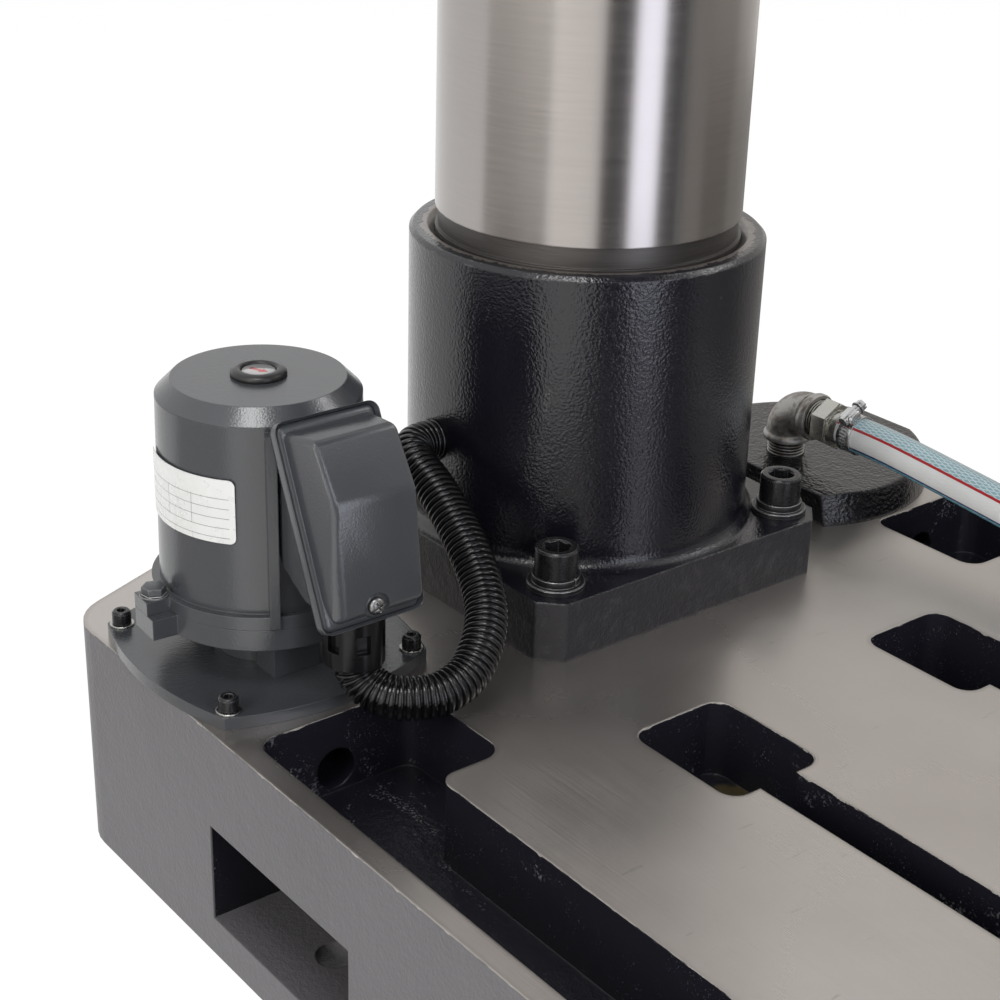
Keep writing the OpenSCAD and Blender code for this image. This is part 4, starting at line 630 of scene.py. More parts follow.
finishes = {
    "socket": socketPaint(),
    "blackCast": castPaint("blackCast", {"colour": (0.017, 0.0165, 0.02), "peel": 620, "depth": 0.3,
                                         "gloss": 0.3, "shine": 0.4}),
    "plate": castPaint("platePaint", {"colour": (0.0045, 0.0045, 0.006), "peel": 480, "lumpy": 0.4,
                                      "lumps": 0.8, "depth": 0.4, "gloss": 0.15, "ease": 0.003}),
    "pump": castPaint("pumpPaint", {"colour": (0.043, 0.046, 0.051), "peel": 1100, "lumps": 0.1, "depth": 0.09,
                                    "gloss": 0.2, "vary": 0.01, "ease": 0.0007, "shine": 0.75}),
    "bracket": castPaint("bracketPaint", {"colour": (0.05, 0.052, 0.058), "peel": 420, "depth": 0.35,
                                          "gloss": 0.36, "wear": 0.3}),
    "head": castPaint("headPaint", {"colour": (0.42, 0.43, 0.42), "peel": 500, "depth": 0.2, "gloss": 0.38,
                                    "wear": 0.1, "bare": (0.5, 0.5, 0.5)}),
    "panel": castPaint("panelPaint", {"colour": (0.5, 0.5, 0.49), "peel": 900, "depth": 0.08, "gloss": 0.4}),
    "blackOxide": steel("blackOxide", {"colour": (0.009, 0.009, 0.0105), "grain": 700, "gloss": 0.26,
                                       "wear": 0.3, "metal": 0.2, "bare": (0.3, 0.3, 0.31)}),
    "darkWasher": steel("darkWasher", {"colour": (0.05, 0.05, 0.052), "grain": 500, "gloss": 0.34,
                                       "wear": 0.8, "metal": 0.8, "bare": (0.6, 0.6, 0.6)}),
    "zinc": steel("zincPlate", {"colour": (0.48, 0.48, 0.455), "grain": 600, "gloss": 0.28, "low": 0.65}),
    "bandSteel": steel("bandSteel", {"colour": (0.62, 0.62, 0.62), "grain": 500, "gloss": 0.24, "low": 0.7}),
    "lidScrew": steel("lidScrew", {"colour": (0.3, 0.3, 0.3), "grain": 500, "gloss": 0.3, "low": 0.6,
                                   "wear": 0.5}),
    "lugScrew": steel("paintedScrew", {"colour": (0.09, 0.095, 0.10), "grain": 500, "gloss": 0.34, "low": 0.6,
                                       "metal": 0.5, "wear": 0.6}),
    "galvanised": galvanised(),
    "zincFitting": zincFitting(),
    "gear": steel("gearSteel", {"colour": (0.4, 0.4, 0.41), "grain": 500, "gloss": 0.36}),
    "tableIron": steel("tableIron", {"colour": (0.5, 0.49, 0.47), "grain": 60, "gloss": 0.36,
                                     "stretch": (1, 30, 1)}),
    "ground": groundSteel("groundSteel", 0),
    "column": groundSteel("columnSteel", groundLook["footTop"]),
    "copper": steel("windings", {"colour": (0.45, 0.2, 0.1), "grain": 300, "gloss": 0.4,
                                 "stretch": (1, 1, 8)}),
    "blackPlastic": plastic("blackPlastic", {"colour": (0.0055, 0.0055, 0.0062), "gloss": 0.2, "depth": 0.02,
                                             "grain": 500, "shine": 0.3}),
    "conduitPlastic": plastic("conduitPlastic", {"colour": (0.0045, 0.0045, 0.0052), "gloss": 0.15,
                                                 "depth": 0.03}),
    "blackRubber": plastic("blackRubber", {"colour": (0.010, 0.010, 0.010), "gloss": 0.34, "depth": 0.1}),
    "greenPlastic": plastic("greenPlastic", {"colour": (0.01, 0.22, 0.05), "gloss": 0.3}),
    "redPlastic": plastic("redPlastic", {"colour": (0.5, 0.015, 0.012), "gloss": 0.3}),
    "orangePlastic": plastic("orangePlastic", {"colour": (0.8, 0.16, 0.02), "gloss": 0.35}),
    "clearGuard": plastic("clearGuard", {"colour": (0.6, 0.72, 0.76), "gloss": 0.1, "alpha": 0.35}),
    "riser": plastic("riserTube", {"colour": (0.25, 0.22, 0.16), "gloss": 0.4}),
}


# base casting: planed top, sand-cast outside, blue-black pockets

# the pockets' oil colour is lightened into a painted glint
baseLook = {"paint": (0.098, 0.094, 0.101), "pit": (0.05, 0.05, 0.055), "dark": (0.010, 0.010, 0.015),
            "scuff": (0.22, 0.22, 0.24), "oilAndGlint": (0.10, 0.078, 0.03), "bare": (0.36, 0.34, 0.315),
            "machined": (0.47, 0.44, 0.415), "mark": (0.2, 0.18, 0.16), "stain": (0.22, 0.2, 0.18),
            "sides": 0.2492, "front": -0.5592, "pocketsTo": 0.0, "cornersFrom": 0.787, "oilAndGlintWithin": 0.15}


def basePaint():
    k = baseLook
    f = Finish("baseCasting").locate()
    nz = f.facing()[2]
    flat = (f.z > topZ - 0.0006) * (nz > 0.5)
    skin = (abs(f.x) > k["sides"]).calc("MAXIMUM", f.y < k["front"]).calc("MAXIMUM", f.y > k["pocketsTo"])
    skin = skin.calc("MAXIMUM", abs(f.x) - f.y > k["cornersFrom"])
    inside = (1 - skin) * (1 - flat) * (f.z > 0.02)
    # outside: grey paint over sand casting; inside the pockets: blue-black with splashes and scratches
    peel = f.noise(420, 3, 0.55)
    lumps = f.noise(90, 2)
    grit = f.noise(1000, 2)
    pits = grit.ramp(0.6, 0.75)
    shade = f.tone(k["paint"], 0.84, 1.1, f.noise(12, 3))
    shade = f.mix(pits * 0.5, shade, k["pit"])
    specks = f.noise(1300, 2).ramp(0.66, 0.72) * f.noise(60, 3).ramp(0.45, 0.65)
    scuffs = f.noise(40, 4, 0.65, stretch=(1, 0.35, 1)).ramp(0.6, 0.66)
    scuffs = scuffs * f.noise(700, 3).ramp(0.5, 0.66) * 0.6
    dark = f.mix(specks * 0.6 + scuffs, k["dark"], k["scuff"])
    low = inside * (nz > 0.5)
    # an oil patch in the T-slot pocket, lightened into a yellowish painted glint
    oilAndGlint = low * (abs(f.x) < k["oilAndGlintWithin"]) * f.noise(26, 3).ramp(0.58, 0.66)
    dark = f.mix(oilAndGlint * 0.6, dark, k["oilAndGlint"])
    paint = f.mix(inside, shade, dark)
    # the worn arris round every opening
    reach = f.noise(100, 4, 0.6).ramp(0.5, 0.75) * 0.0012 + 0.0003
    rim = (1 - flat) * (f.z > topZ - reach) * f.noise(70, 4, 0.6).ramp(0.38, 0.5) * (nz > -0.5)
    paint = f.mix(rim, paint, k["bare"])
    # the machined top: fine planing lines, dull patches, small scratches
    lines = f.noise(14, 3, 0.6, stretch=(160, 1, 1))
    blotch = f.noise(13, 4, 0.6)
    marks = f.noise(34, 3, 0.6, stretch=(1, 7, 1)).ramp(0.68, 0.72) * 0.25
    iron = f.tone(k["machined"], 0.82, 1.1, lines * 0.35 + blotch * 0.65)
    iron = f.mix(marks, iron, k["mark"])
    stain = flat * f.edges(0.004, low=0.999, high=0.97) * 0.4
    iron = f.mix(stain, iron, k["stain"])
    colour = f.mix(flat, paint, iron)
    planed = f.noise(5, 2).ramp(0.42, 0.6)  # where the planing lines still show
    rough = flat * (lines * 0.16 * planed + blotch * 0.12 + 0.2) + (1 - flat) * (0.44 - inside * 0.2)
    height = (1 - flat) * (peel * 0.7 + lumps * 0.8 + grit * 0.35) + flat * lines * planed * 0.16
    normal = f.bump(height, 0.45, 0.0012, f.rounded(0.0014))
    return f.done(colour, rough, flat * 0.92, normal)


hoseLook = {"threads": 30, "cell": 3.4, "sky": (0.22, 0.37, 0.42), "thread": (0.62, 0.71, 0.73),
            "aqua": (0.10, 0.33, 0.42), "white": (0.66, 0.67, 0.67), "navy": (0.02, 0.04, 0.14),
            "red": (0.36, 0.02, 0.025),
            "redAt": 51.5, "navyAt": 119.4, "skyFrom": -60, "stripe": 4.2}  # degrees


def hoseSkin():
    k = hoseLook
    f = Finish("hoseSkin").locate("flat")
    turn = (f.y * -1).calc("ARCTAN2", f.z) * math.degrees(1)  # 0 on top, 90 to the left
    along = f.x / mm
    right = (turn * (k["threads"] / 180) + along / k["cell"]).calc("PINGPONG", 1.0)
    left = (turn * (k["threads"] / 180) - along / k["cell"]).calc("PINGPONG", 1.0)
    strands = right.ramp(0.34, 0.16).calc("MAXIMUM", left.ramp(0.34, 0.16))
    net = strands * f.noise(900, 2).ramp(0.3, 0.6, 0.6, 1.0)
    knot = (right < 0.2) * (left < 0.2)
    cloud = f.noise(60, 3)
    sky = f.mix(net * 0.75, f.tone(k["sky"], 0.85, 1.1, cloud), k["thread"])
    aqua = f.mix(net * 0.35, f.tone(k["aqua"], 0.8, 1.15, cloud), k["thread"])
    band = (turn > k["redAt"]) * (turn < k["navyAt"])
    under = (turn > k["navyAt"]).calc("MAXIMUM", turn < k["skyFrom"])
    colour = f.mix(under, sky, aqua)
    colour = f.mix(band, colour, f.mix(net * 0.3, f.tone(k["white"], 0.9, 1.03, cloud), k["thread"]))
    colour = f.mix(turn.near(k["redAt"], k["stripe"], 0.8), colour, k["red"])
    colour = f.mix(turn.near(k["navyAt"], k["stripe"], 0.8), colour, k["navy"])
    normal = f.bump(net * 0.5 + knot * 0.4, 0.25, 0.0004)
    rough = f.noise(300, 2).ramp(0.3, 0.7, 0.16, 0.26)
    return f.done(colour, rough, normal=normal, Coat_Weight=0.3, Coat_Roughness=0.1)


discLook = {"disc": (0.46, 0.46, 0.46), "arrow": (0.45, 0.015, 0.015), "turn": -65,
            "shaftAt": -0.0014, "shaft": 0.0030, "half": 0.00115, "soft": 0.0001,
            "headFrom": 0.0012, "tip": 0.0050, "slope": 0.62}


def arrowDisc():  # a clear disc with a generic turning arrow
    k = discLook
    f = Finish("arrowDisc").locate()
    east, north = f.x - pumpAt[0] * mm, f.y - pumpAt[1] * mm
    turn = math.radians(k["turn"])
    x = east * math.cos(turn) + north * math.sin(turn)
    y = north * math.cos(turn) - east * math.sin(turn)
    shaft = x.near(k["shaftAt"], k["shaft"], k["soft"]) * y.near(0, k["half"], k["soft"])
    tip = (x > k["headFrom"]) * (x < k["tip"]) * (abs(y) < (k["tip"] - x) * k["slope"])
    cloud = f.tone(k["disc"], 0.8, 1.1, f.noise(300, 3, stretch=(1, 4, 1)))
    colour = f.mix(shaft.calc("MAXIMUM", tip), cloud, k["arrow"])
    return f.done(colour, 0.2, Coat_Weight=0.6, Coat_Roughness=0.08)


labelLook = {"plate": (0.66, 0.67, 0.66), "ink": (0.10, 0.10, 0.11), "angle": 188.5, "perDegree": 0.829,
             "middle": 211, "step": 2.3, "offset": 12.4, "line": 0.16, "rowsTo": 27.5,
             "under": 6.5, "over": -8, "posts": (9, -6), "post": 0.14,
             "corner": 3.0, "cornerAt": (27.3, 12.0)}  # mm from its middle


def label():  # a blank ruled plate: white with a few thin lines and rounded corners
    k = labelLook
    f = Finish("ruledPlate").locate()
    across = (f.angle(pumpAt) + 360) % 360
    side = (across - k["angle"]) * k["perDegree"]
    high = f.z / mm - k["middle"]
    rows = (high + k["offset"]).calc("PINGPONG", k["step"]) < k["line"]
    rows = rows * (high < k["under"]) * (abs(side) < k["rowsTo"])
    left, right = (side.near(at, k["post"], 0.05) for at in k["posts"])
    posts = left.calc("MAXIMUM", right) * (high < k["under"]) * (high > k["over"])
    white = f.tone(k["plate"], 0.94, 1.03, f.noise(60, 3))
    colour = f.mix(rows.calc("MAXIMUM", posts) * 0.75, white, k["ink"])
    u, v = ((abs(way) - at).calc("MAXIMUM", 0.0) for way, at in zip((side, high), k["cornerAt"]))
    rough = f.noise(200, 2).ramp(0.3, 0.7, 0.26, 0.36)
    return f.done(colour, rough, 0.1, Alpha=(f.away(u, v) < k["corner"]) * 1.0)


finishes["base"] = basePaint()
finishes["hoseSkin"] = hoseSkin()
finishes["arrowDisc"] = arrowDisc()
finishes["label"] = label()
print("materials made")

wears = {
    "base": ["base_casting"],
    "socket": ["column_socket"],
    "blackCast": ["fan_cover"],
    "column": ["column"],
    "plate": ["return_plate"],
    "ground": ["quill", "spindle", "feed_levers", "depth_dial"],
    "blackOxide": ["rack_screws"],
    "pump": ["pump_flange", "pump_bracket", "pump_shell", "pump_cap", "motor_body"],
    "galvanised": ["drain_fitting"],
    "blackPlastic": ["crank_grip", "column_lock", "table_lock", "feed_knobs", "speed_lever", "range_lever",
                     "coolant_switch", "conduit_gland"],
    "clearGuard": ["chuck_guard"],
    "gear": ["rack", "crank", "motor_rotor", "lay_gears", "spindle_gear", "quill_bearings", "feed_hub",
             "pump_rotor"],
    "copper": ["pump_stator"],
    "bracket": ["table_bracket", "spring_housing"],
    "tableIron": ["work_table"],
    "head": ["head_casting", "head_cover"],
    "panel": ["control_panel"],
    "greenPlastic": ["start_button"],
    "redPlastic": ["stop_button", "emergency_stop"],
    "orangePlastic": ["coolant_nozzle"],
    "riser": ["coolant_riser"],
}


def dress(obj, finish):
    obj.data.materials.clear()
    obj.data.materials.append(finishes[finish])
    return obj


for finish, names in wears.items():
    for name in names:
        dress(nodes[name], finish)
dress(drainHose, "hoseSkin")
dress(conduitTube, "conduitPlastic")
print("nodes dressed")


# screws: socket heads, flat washers and spring washers

screws = {
    "flange": {"head": 10.5, "height": 14, "key": 12, "shank": 7, "grip": 66, "at": (0, 0), "pitch": 74.5,
               "under": 156, "stack": 6, "turn": (17, 29), "sides": 64,
               "washer": ((7.6, 0), (14, 0), (14, 2.1), (13.6, 2.5), (7.6, 2.5)),
               "spring": ((7.4, 2.5), (11.6, 6.0)), "springTurn": (130, 77),
               "slot": "dark_steel", "finish": "darkWasher"},
    "pump": {"head": 4.5, "height": 6.5, "key": 4, "shank": 2.5, "grip": 17, "at": pumpAt, "pitch": 49,
             "under": 127, "stack": 1, "turn": (11, 37), "sides": 48,
             "washer": ((2.7, 0), (5.75, 0), (5.75, 0.8), (5.5, 1), (2.7, 1)),
             "slot": "zinc_steel", "finish": "zinc"},
}
corners = ((1, 1), (-1, 1), (-1, -1), (1, -1))


def capScrew(name, look):
    r, h, key = look["head"], look["height"], look["key"] / 2 / math.cos(math.pi / 6)
    shank = [(look["shank"], -look["grip"]), (look["shank"], 0)]
    body = turned(name, shank + [(r - 0.3, 0), (r, 0.4), (r, h - 1), (r - 0.9, h)], 64)
    cutBy(body, place(rod("key", key, h, 6), (0, 0, h * 0.5)))
    cutBy(body, turned("mouth", [(key * 0.9, h - key * 0.12), (key * 1.04, h + 0.3)]))
    return soften(body, h * 0.02, 2, 40)


def springWasher(low, high):
    return soften(spun("springWasher", low, high, 354, 60), 0.35, 2, 50)


def makeScrews(kind, look):
    screw = capScrew(kind + "Screw", look)
    flat = turned(kind + "Washer", look["washer"], look["sides"])
    spring = [springWasher(*look["spring"])] if "spring" in look else []
    bolts, washers = [], []
    for i, (sx, sy) in enumerate(corners):
        x, y = look["at"][0] + sx * look["pitch"], look["at"][1] + sy * look["pitch"]
        low = (x, y, look["under"] - look["stack"])
        start, step = look["turn"]
        bolts.append(another(screw, (x, y, look["under"]), (0, 0, start + step * i)))
        washers.append(another(flat, low))
        for one in spring:
            start, step = look["springTurn"]
            washers.append(another(one, low, (0, 0, start + step * i)))
    drop(screw, flat, *spring)
    bolts = fit(together(kind + "Bolts", *bolts), "machine", [kind + "_bolts"])
    washers = fit(together(kind + "Washers", *washers), "machine", [kind + "_washers"])
    dress(bolts, "blackOxide")
    dress(washers, look["finish"])


for kind, look in screws.items():
    makeScrews(kind, look)
print("bolts made")


# coolant return: street elbow, hose tail and worm clamp

fitting = {"x": 158, "plate": 17, "axis": 44, "bend": 15, "body": 12,
           "thread": 10.5, "deep": 1.0, "pitch": 1.8, "core": 9.2,
           "lip": ((11.4, 0), (13.2, 0.8), (13.6, 2.2), (13.2, 3.8), (11.9, 5.0), (11.8, 7)),
           "port": ((11.6, -2), (12.0, 0), (13.0, 0.8), (13.5, 2.2), (13.5, 4.4), (12.9, 5.5), (11.0, 5.5),
                    (10.9, 3))}
tail = {"start": -17, "core": 9.3, "long": 24, "nut": 13.5, "nutLong": 11,
        "ease": ((20, 12.5), (11.9, 11.4), (11.9, 11.0), (14.4, 9.6), (20, 9.6)),
        "neck": ((9.5, 0), (9.5, 4.2), (9.0, 5)), "barb": ((6.7, 0), (6.7, 23), (5.6, 24))}


def threads(name, turns):  # rings in place of a helix
    crest, root, pitch = fitting["thread"], fitting["thread"] - fitting["deep"], fitting["pitch"]
    rings = [(root, 0)]
    for i in range(turns):
        z = i * pitch
        rings += [(crest, z + pitch * 0.35), (crest, z + pitch * 0.6), (root, z + pitch * 0.92)]
    return turned(name, rings)


def towardsFront(piece, y):  # a piece along Z turned to point to the front
    return place(piece, (fitting["x"], y, topZ / mm + fitting["axis"]), (90, 0, 0))


def makeElbow():
    f = fitting
    knee = (f["axis"] - f["bend"]) * mm
    low = rod("pipe", f["core"], f["plate"] + 8)
    stub = place(threads("stub", 5), (0, 0, f["plate"] - 0.6))
    lip = place(turned("lip", f["lip"], 64), (0, 0, f["plate"] + 7.6))
    pick()
    bpy.ops.mesh.primitive_circle_add(vertices=48, radius=f["body"] * mm, fill_type="NGON",
                                      location=(0, 0, knee))
    bend = settle(named("bend"))
    bpy.ops.object.mode_set(mode="EDIT")
    bpy.ops.mesh.select_all(action="SELECT")
    bpy.ops.mesh.spin(steps=20, angle=-math.pi / 2, center=(0, -f["bend"] * mm, knee), axis=(1, 0, 0))
    closeUp()
    parts = [place(p, (f["x"], 0, topZ / mm)) for p in (low, stub, lip, bend)]
    parts.append(towardsFront(turned("port", f["port"], 64), -f["bend"] - 1.6))
    elbow = together("streetElbow", *parts)
    return dress(fit(elbow, "machine", ["return_elbow"], 50), "galvanised")


def makeTail():
    k = tail
    nipple = towardsFront(threads("nippleThread", 6), k["start"] - 1)
    core = towardsFront(rod("core", k["core"], k["long"]), k["start"])
    nut = soften(rod("nut", k["nut"], k["nutLong"], 6), 0.25)
    nut = towardsFront(cutBy(nut, turned("nutEase", k["ease"])), k["start"] - 10)
    neck = towardsFront(turned("neck", k["neck"]), k["start"] - 21)
    barb = towardsFront(turned("barb", k["barb"], 40), k["start"] - 21)
    whole = together("hoseTail", nipple, core, nut, neck, barb)
    return dress(fit(whole, "machine", ["hose_tail"], 40), "zincFitting")


clamp = {"y": -45.5, "wide": 9, "inner": 10.02, "outer": 10.9, "bead": (0.25, 0.5), "turn": 28,
         "slits": 13, "slitFrom": 116, "slitStep": 9.5, "slit": ((9.5, -0.45), (14, 0.45), 2.2),
         "screw": 2.9, "screwLong": 12, "house": 4.6, "hex": (3.3, 4.2), "headAt": 6.4,
         "collar": ((2.2, -3), (2.2, 0), (3.9, 0), (3.9, 0.8), (3.0, 0.8)),
         "slot": ((-5, -0.5, 2.9), (5, 0.5, 6))}


def makeClamp():
    c = clamp
    wide, outer, screw = c["wide"], c["outer"], c["screw"]
    proud, bead = c["bead"]
    band = turned("band", [(c["inner"], 0), (outer + proud, 0), (outer, bead), (outer, wide - bead),
                           (outer + proud, wide), (c["inner"], wide)], 72)
    low, high, inset = c["slit"]
    slit = block("slit", (*low, inset), (*high, wide - inset))
    slits = [another(slit, turn=(0, 0, c["slitFrom"] + c["slitStep"] * i)) for i in range(c["slits"])]
    drop(slit)
    band = cutBy(band, together("slits", *slits))
    lift = outer + screw - 0.2
    house = block("house", (-c["house"], outer - 0.6, 0), (c["house"], outer + 2 * screw - 0.6, wide))
    house = soften(house, 2.0, 4)
    tube = place(rod("screwTube", screw, c["screwLong"]), (-c["screwLong"] / 2, lift, wide / 2), (0, 90, 0))
    hexHead = soften(rod("screwHex", *c["hex"], 6), 0.3)
    hexHead = together("screwHead", hexHead, turned("screwCollar", c["collar"], 32))
    hexHead = cutBy(hexHead, block("screwSlot", *c["slot"]))
    hexHead = place(hexHead, (c["headAt"], lift, wide / 2), (0, 90, 0))
    parts = together("wormClamp", band, house, tube, hexHead)
    towardsFront(place(parts, turn=(0, 0, c["turn"])), c["y"])
    return dress(fit(parts, "machine", ["hose_clamp"], 35), "bandSteel")


makeElbow()
makeTail()
makeClamp()
print("return fittings made")


# coolant pump: terminal box and lid, screws, grommet with its disc, label

lid = {"rim": 52, "rimAt": -2.5, "lip": 3.2, "corner": 5, "inset": 3.2, "front": 41, "frontAt": 1, "round": 3.6,
       "rimTop": (-56, 137), "rimLow": (-92, 56),  # corners of its side, (y, z) from the pump's axis
       "ridge": (-74.5, 134.5), "knee": (-89.5, 110.5), "low": (-95.5, 60.5), "screw": (-2, 62.7),
       "dish": ((7.6, 0), (5.6, 4.6), (4.8, 5.2)), "boss": ((5.8, 0), (5.6, 1.4), (5.0, 1.8))}


def atPump(piece):
    return place(piece, (*pumpAt, topZ / mm))


def throughBars(name, sections):  # a convex solid through thin bars: (y, z, left, right)
    thin = 0.02
    bars = [block("bar", (left, y - thin, z - thin), (right, y + thin, z + thin))
            for y, z, left, right in sections]
    solid = hulled(name, *bars)
    pick(solid)
    bpy.ops.object.mode_set(mode="EDIT")
    bpy.ops.mesh.select_all(action="SELECT")
    bpy.ops.mesh.remove_doubles(threshold=0.0001)
    bpy.ops.mesh.dissolve_limited(angle_limit=math.radians(3))
    closeUp()
    return solid


def rimPlate(name, size, thick, corner, ease):  # a flat plate with rounded corners, centred
    w, h = size
    plate = block(name, (-w / 2, -h / 2, -thick / 2), (w / 2, h / 2, thick / 2))
    for line in plate.data.edges:
        a, b = (plate.data.vertices[i].co for i in line.vertices)
        line.select = abs(a.z - b.z) > 0.5 * thick * mm
    bpy.ops.object.mode_set(mode="EDIT")
    bpy.ops.mesh.select_mode(type="EDGE")
    bpy.ops.mesh.bevel(offset=corner * mm, segments=6, affect="EDGES")
    bpy.ops.object.mode_set(mode="OBJECT")
    return soften(plate, ease, 4, 40)


def makeLid():
    k = lid
    top, low = Vector(k["rimTop"]), Vector(k["rimLow"])
    along = (low - top).normalized()
    middle, long = (top + low) / 2, (low - top).length
    lean = math.degrees(math.atan2(along.x, -along.y))
    left, right = k["rimAt"] - k["rim"] / 2 + k["inset"], k["rimAt"] + k["rim"] / 2 - k["inset"]
    wall = [(p.x, p.y, left, right) for p in (top + along * 2.6, low - along * 1.8)]
    left, right = k["frontAt"] - k["front"] / 2, k["frontAt"] + k["front"] / 2
    face = [(*k[n], left, right) for n in ("ridge", "knee", "low")]
    front = soften(throughBars("lidFront", wall + face), k["round"], 6, 24)
    x, z = k["screw"]
    front = cutBy(front, place(turned("dish", k["dish"], 40), (x, k["low"][0] - 2.2, z), (-90, 0, 0)))
    boss = place(turned("boss", k["boss"], 40), (x, k["low"][0] + 4.0, z), (90, 0, 0))
    lip = rimPlate("lidRim", (k["rim"], long + 3), k["lip"], k["corner"], k["lip"] * 0.42)
    lip = place(lip, (k["rimAt"], middle.x, middle.y), (90 + lean, 0, 0))
    cover = atPump(together("terminalLid", front, boss, lip))
    return dress(fit(cover, "machine", ["terminal_lid"], 38), "pump")


terminalBox = {"wide": 38, "bars": ((-40, 121, 3), (-60, 122, 3), (-86, 61, 4), (-66, 64, 8), (-52, 72, 8),
                                    (-40, 84, 3))}


def makeBox():  # the hull of round bars: (y, z, radius)
    k = terminalBox
    bars = [place(rod("bar", r, k["wide"], 24), (-k["wide"] / 2, y, z), (0, 90, 0)) for y, z, r in k["bars"]]
    body = atPump(soften(hulled("terminalBox", *bars), 2.5, 3, 50))
    return dress(fit(body, "machine", ["terminal_box"], 40), "pump")


lidScrew = {"head": ((2.1, -4), (2.1, 0), (4.0, 0), (4.0, 0.9), (3.6, 1.7), (2.8, 2.4), (1.6, 2.8)),
            "cross": ((-2.6, -0.45, 1.5), (2.6, 0.45, 4)), "turns": (25, 115), "sunk": 1.9}


def makeLidScrew():
    k = lidScrew
    head = turned("lidScrew", k["head"], 40)
    for turn in k["turns"]:
        head = cutBy(head, place(block("cross", *k["cross"]), turn=(0, 0, turn)))
    head = atPump(place(head, (lid["screw"][0], lid["low"][0] + k["sunk"], lid["screw"][1]), (90, 0, 0)))
    return dress(fit(head, "machine", ["lid_screw"], 35), "lidScrew")


lugScrew = {"head": ((3, -10), (3, 0), (6.6, 0), (6.6, 0.7), (5.6, 0.9)), "nut": (5.77, 4.5),
            "out": 55, "up": 42.5, "angles": (176, 356)}


def makeLugScrews():
    k = lugScrew
    nut = soften(rod("nut", *k["nut"], 6), 0.5, 3)
    one = together("lugScrew", turned("lugScrew", k["head"], 40), nut)
    parts = []
    for angle in k["angles"]:
        a = math.radians(angle)
        at = (k["out"] * math.cos(a), k["out"] * math.sin(a), k["up"])
        parts.append(another(one, at, (0, 0, 12 + angle)))
    drop(one)
    both = atPump(together("lugScrews", *parts))
    return dress(fit(both, "machine", ["lug_screws"], 35), "lugScrew")


grommet = {"ring": ((9, -3.4), (9, 0), (12.3, 0), (12.7, 0.6), (12.5, 1.8), (11.4, 2.8), (9.6, 3.3),
                    (8.3, 3.1), (7.8, 2.4), (7.7, 1.0), (5.7, 1.0), (5.7, -3.4)), "ringAt": 257,
           "disc": ((7.65, 0), (7.65, 0.8), (7.3, 1.2)), "discAt": 258}


def makeGrommet():
    k = grommet
    ring = place(turned("grommet", k["ring"], 64), (*pumpAt, k["ringAt"]))
    dress(fit(ring, "machine", ["cap_grommet"], 50), "blackRubber")
    disc = place(turned("sightDisc", k["disc"]), (*pumpAt, k["discAt"]))
    dress(fit(disc, "machine", ["sight_disc"], 50), "arrowDisc")


plateSize = {"low": (47.25, 76), "high": (47.6, 106), "sweep": 73, "start": 152}


def makeLabel():
    k = plateSize
    plate = atPump(spun("namePlate", k["low"], k["high"], k["sweep"], 40, k["start"]))
    return dress(fit(plate, "machine", [], 30), "label")


makeLid()
makeBox()
makeLidScrew()
makeLugScrews()
makeGrommet()
makeLabel()
print("pump pieces made")


# floor, backdrop and lamps

stage = {"floor": 6.0, "paper": 0.8, "fill": 0.40, "glow": 1.1, "glowShare": 0.84,
         "far": 1.9, "high": 1.8}  # how far out the cards reach and how high they stand
lamps = {
    "left": {"place": (-2.3, -0.5, 1.2), "aim": (-0.1, 0, 0.2), "size": (1.1, 1.5), "power": 35,
             "tint": (1, 0.97, 0.94)},
    "front": {"place": (-0.09, -2.5, 1.0), "aim": (0, 0, 0.3), "size": (0.6, 1.9), "power": 26,
              "tint": (0.94, 0.95, 1)},
    "right": {"place": (2.5, -0.9, 2.3), "aim": (0, 0, 0.3), "size": (1.0, 1.0), "power": 18,
              "tint": (1, 1, 1)},
    "top": {"place": (-1.0, -0.75, 2.8), "aim": (-0.1, 0, 0.2), "size": (0.9, 0.9), "power": 20,
            "tint": (1, 1, 1)},
}
# what only reflections see: sectors round the column (from, to, how near they come to it, glow on the floor,
# glow on the wall behind it, tint)
cards = {
    "left": (148, 199, 0.38, 0.5, 0.9, (1, 0.97, 0.94)),
    "key": (-158, -128, 0.38, 1.26, 1.3, (1, 0.98, 0.96)),
    "shade": (-124, -104, 0.34, 0.05, 0.05, (1, 1, 1)),
    "strip": (-101.5, -84, 0.34, 2.9, 2.6, (0.84, 0.87, 1.0)),
    "gap": (-82, -62, 0.34, 0.06, 0.06, (1, 1, 1)),
    "frontRight": (-62, -44, 0.34, 0.34, 0.4, (1, 0.96, 0.92)),
    "right": (-44, -14, 0.34, 0.2, 0.5, (1, 0.95, 0.9)),
    "behind": (-14, 46, 0.5, 0.3, 0.72, (1, 0.96, 0.92)),
}


def seenWhite(f):  # camera, mirror and glass rays see the white background
    kinds = ("Is Camera Ray", "Is Glossy Ray", "Is Transmission Ray")
    seen, mirrored, through = (f.add("ShaderNodeLightPath", out=kind) for kind in kinds)
    return seen.calc("MAXIMUM", mirrored).calc("MAXIMUM", through)


def layFloor():
    pick()
    bpy.ops.mesh.primitive_plane_add(size=stage["floor"] * 2, location=(0, 0, -0.0004))
    floor = settle(named("floor"))
    f = Finish("floorPaper")
    paper = f.add("ShaderNodeBsdfDiffuse", {}, {"Color": (stage["paper"],) * 3 + (1,)})
    glow = f.add("ShaderNodeEmission", {}, {"Color": (1, 1, 1, 1), "Strength": stage["glow"]})
    both = f.add("ShaderNodeMixShader", {}, {0: seenWhite(f) * stage["glowShare"], 1: paper, 2: glow})
    f.add("ShaderNodeOutputMaterial", {}, {"Surface": both})
    floor.data.materials.append(f.material)


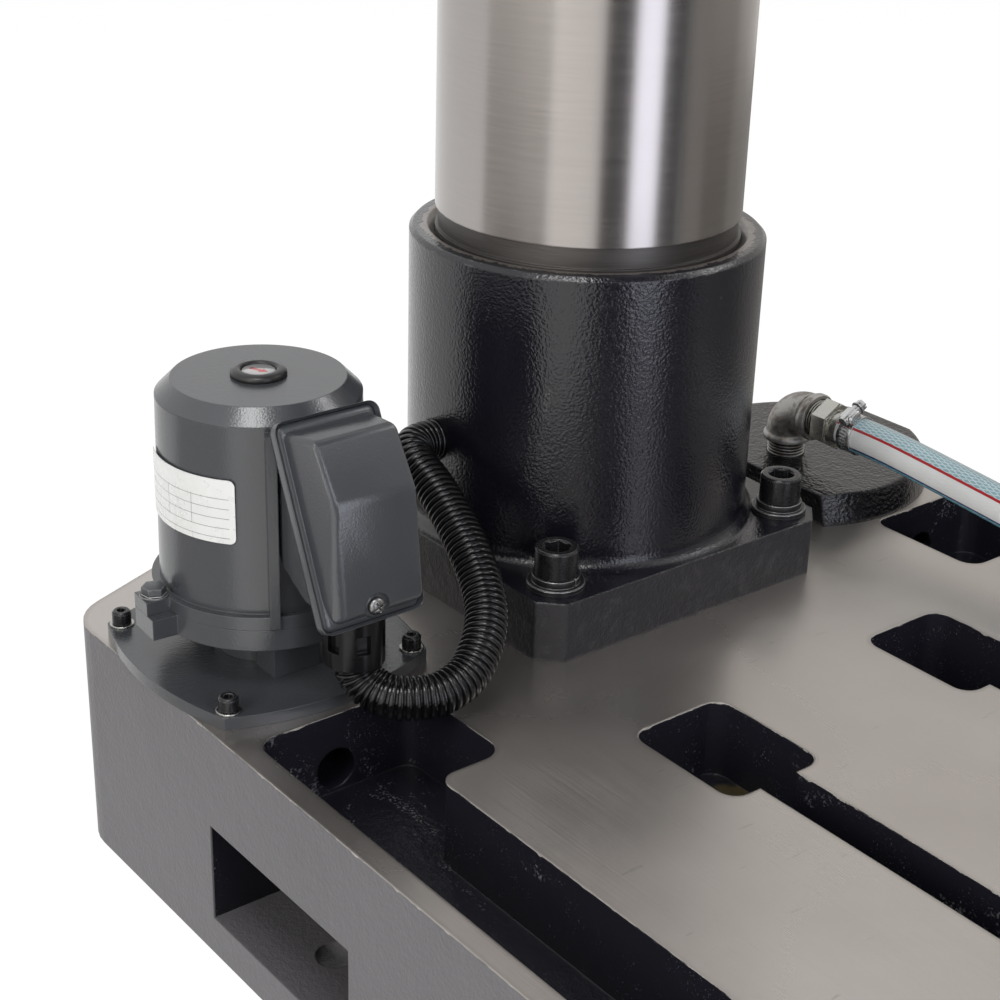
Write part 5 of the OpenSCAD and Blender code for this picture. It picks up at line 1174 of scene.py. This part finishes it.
def lightWorld():
    world = bpy.data.worlds.new("studio")
    bpy.context.scene.world = world
    f = Finish("studio", world)
    plain = f.add("ShaderNodeBackground", {}, {"Color": (1, 1, 1, 1), "Strength": stage["fill"]})
    white = f.add("ShaderNodeBackground", {}, {"Color": (1, 1, 1, 1), "Strength": 1.0})
    both = f.add("ShaderNodeMixShader", {}, {0: seenWhite(f), 1: plain, 2: white})
    f.add("ShaderNodeOutputWorld", {}, {"Surface": both})


def glowCard(card, strength, tint):
    f = Finish(card.name)
    glow = f.add("ShaderNodeEmission", {}, {"Color": (*tint, 1), "Strength": strength})
    f.add("ShaderNodeOutputMaterial", {}, {"Surface": glow})
    card.data.materials.append(f.material)
    card.visible_camera = card.visible_diffuse = card.visible_shadow = card.visible_transmission = False


def standCards():
    far = stage["far"] / mm
    for name, (start, end, close, low, high, tint) in cards.items():
        near = close / mm
        half = far * math.tan(math.radians((end - start) / 2))
        floor = block(name + "Floor", (near, -half, 0.4), (far, half, 1))
        pick(floor)
        for point in floor.data.vertices:
            point.select = point.co.x < (near + far) / 2 * mm
        for line in floor.data.edges:
            line.select = all(floor.data.vertices[i].select for i in line.vertices)
        for face in floor.data.polygons:
            face.select = all(floor.data.vertices[i].select for i in face.vertices)
        bpy.ops.object.mode_set(mode="EDIT")
        bpy.ops.transform.resize(value=(1, near / far, 1), center_override=(0, 0, 0))
        bpy.ops.object.mode_set(mode="OBJECT")
        wall = block(name + "Wall", (far, -half, 1), (far + 1, half, stage["high"] / mm))
        for card, strength in ((floor, low), (wall, high)):
            glowCard(place(card, turn=(0, 0, (start + end) / 2)), strength, tint)


def hangLamps():
    for name, lamp in lamps.items():
        bpy.ops.object.light_add(type="AREA", location=lamp["place"])
        light = bpy.context.object
        light.name = name
        light.data.shape = "RECTANGLE"
        light.data.size, light.data.size_y = lamp["size"]
        light.data.energy = lamp["power"]
        light.data.color = lamp["tint"]
        away = Vector(lamp["aim"]) - Vector(lamp["place"])
        light.rotation_euler = away.to_track_quat("-Z", "Y").to_euler()
    pick()


layFloor()
lightWorld()
standCards()
hangLamps()
print("stage set")
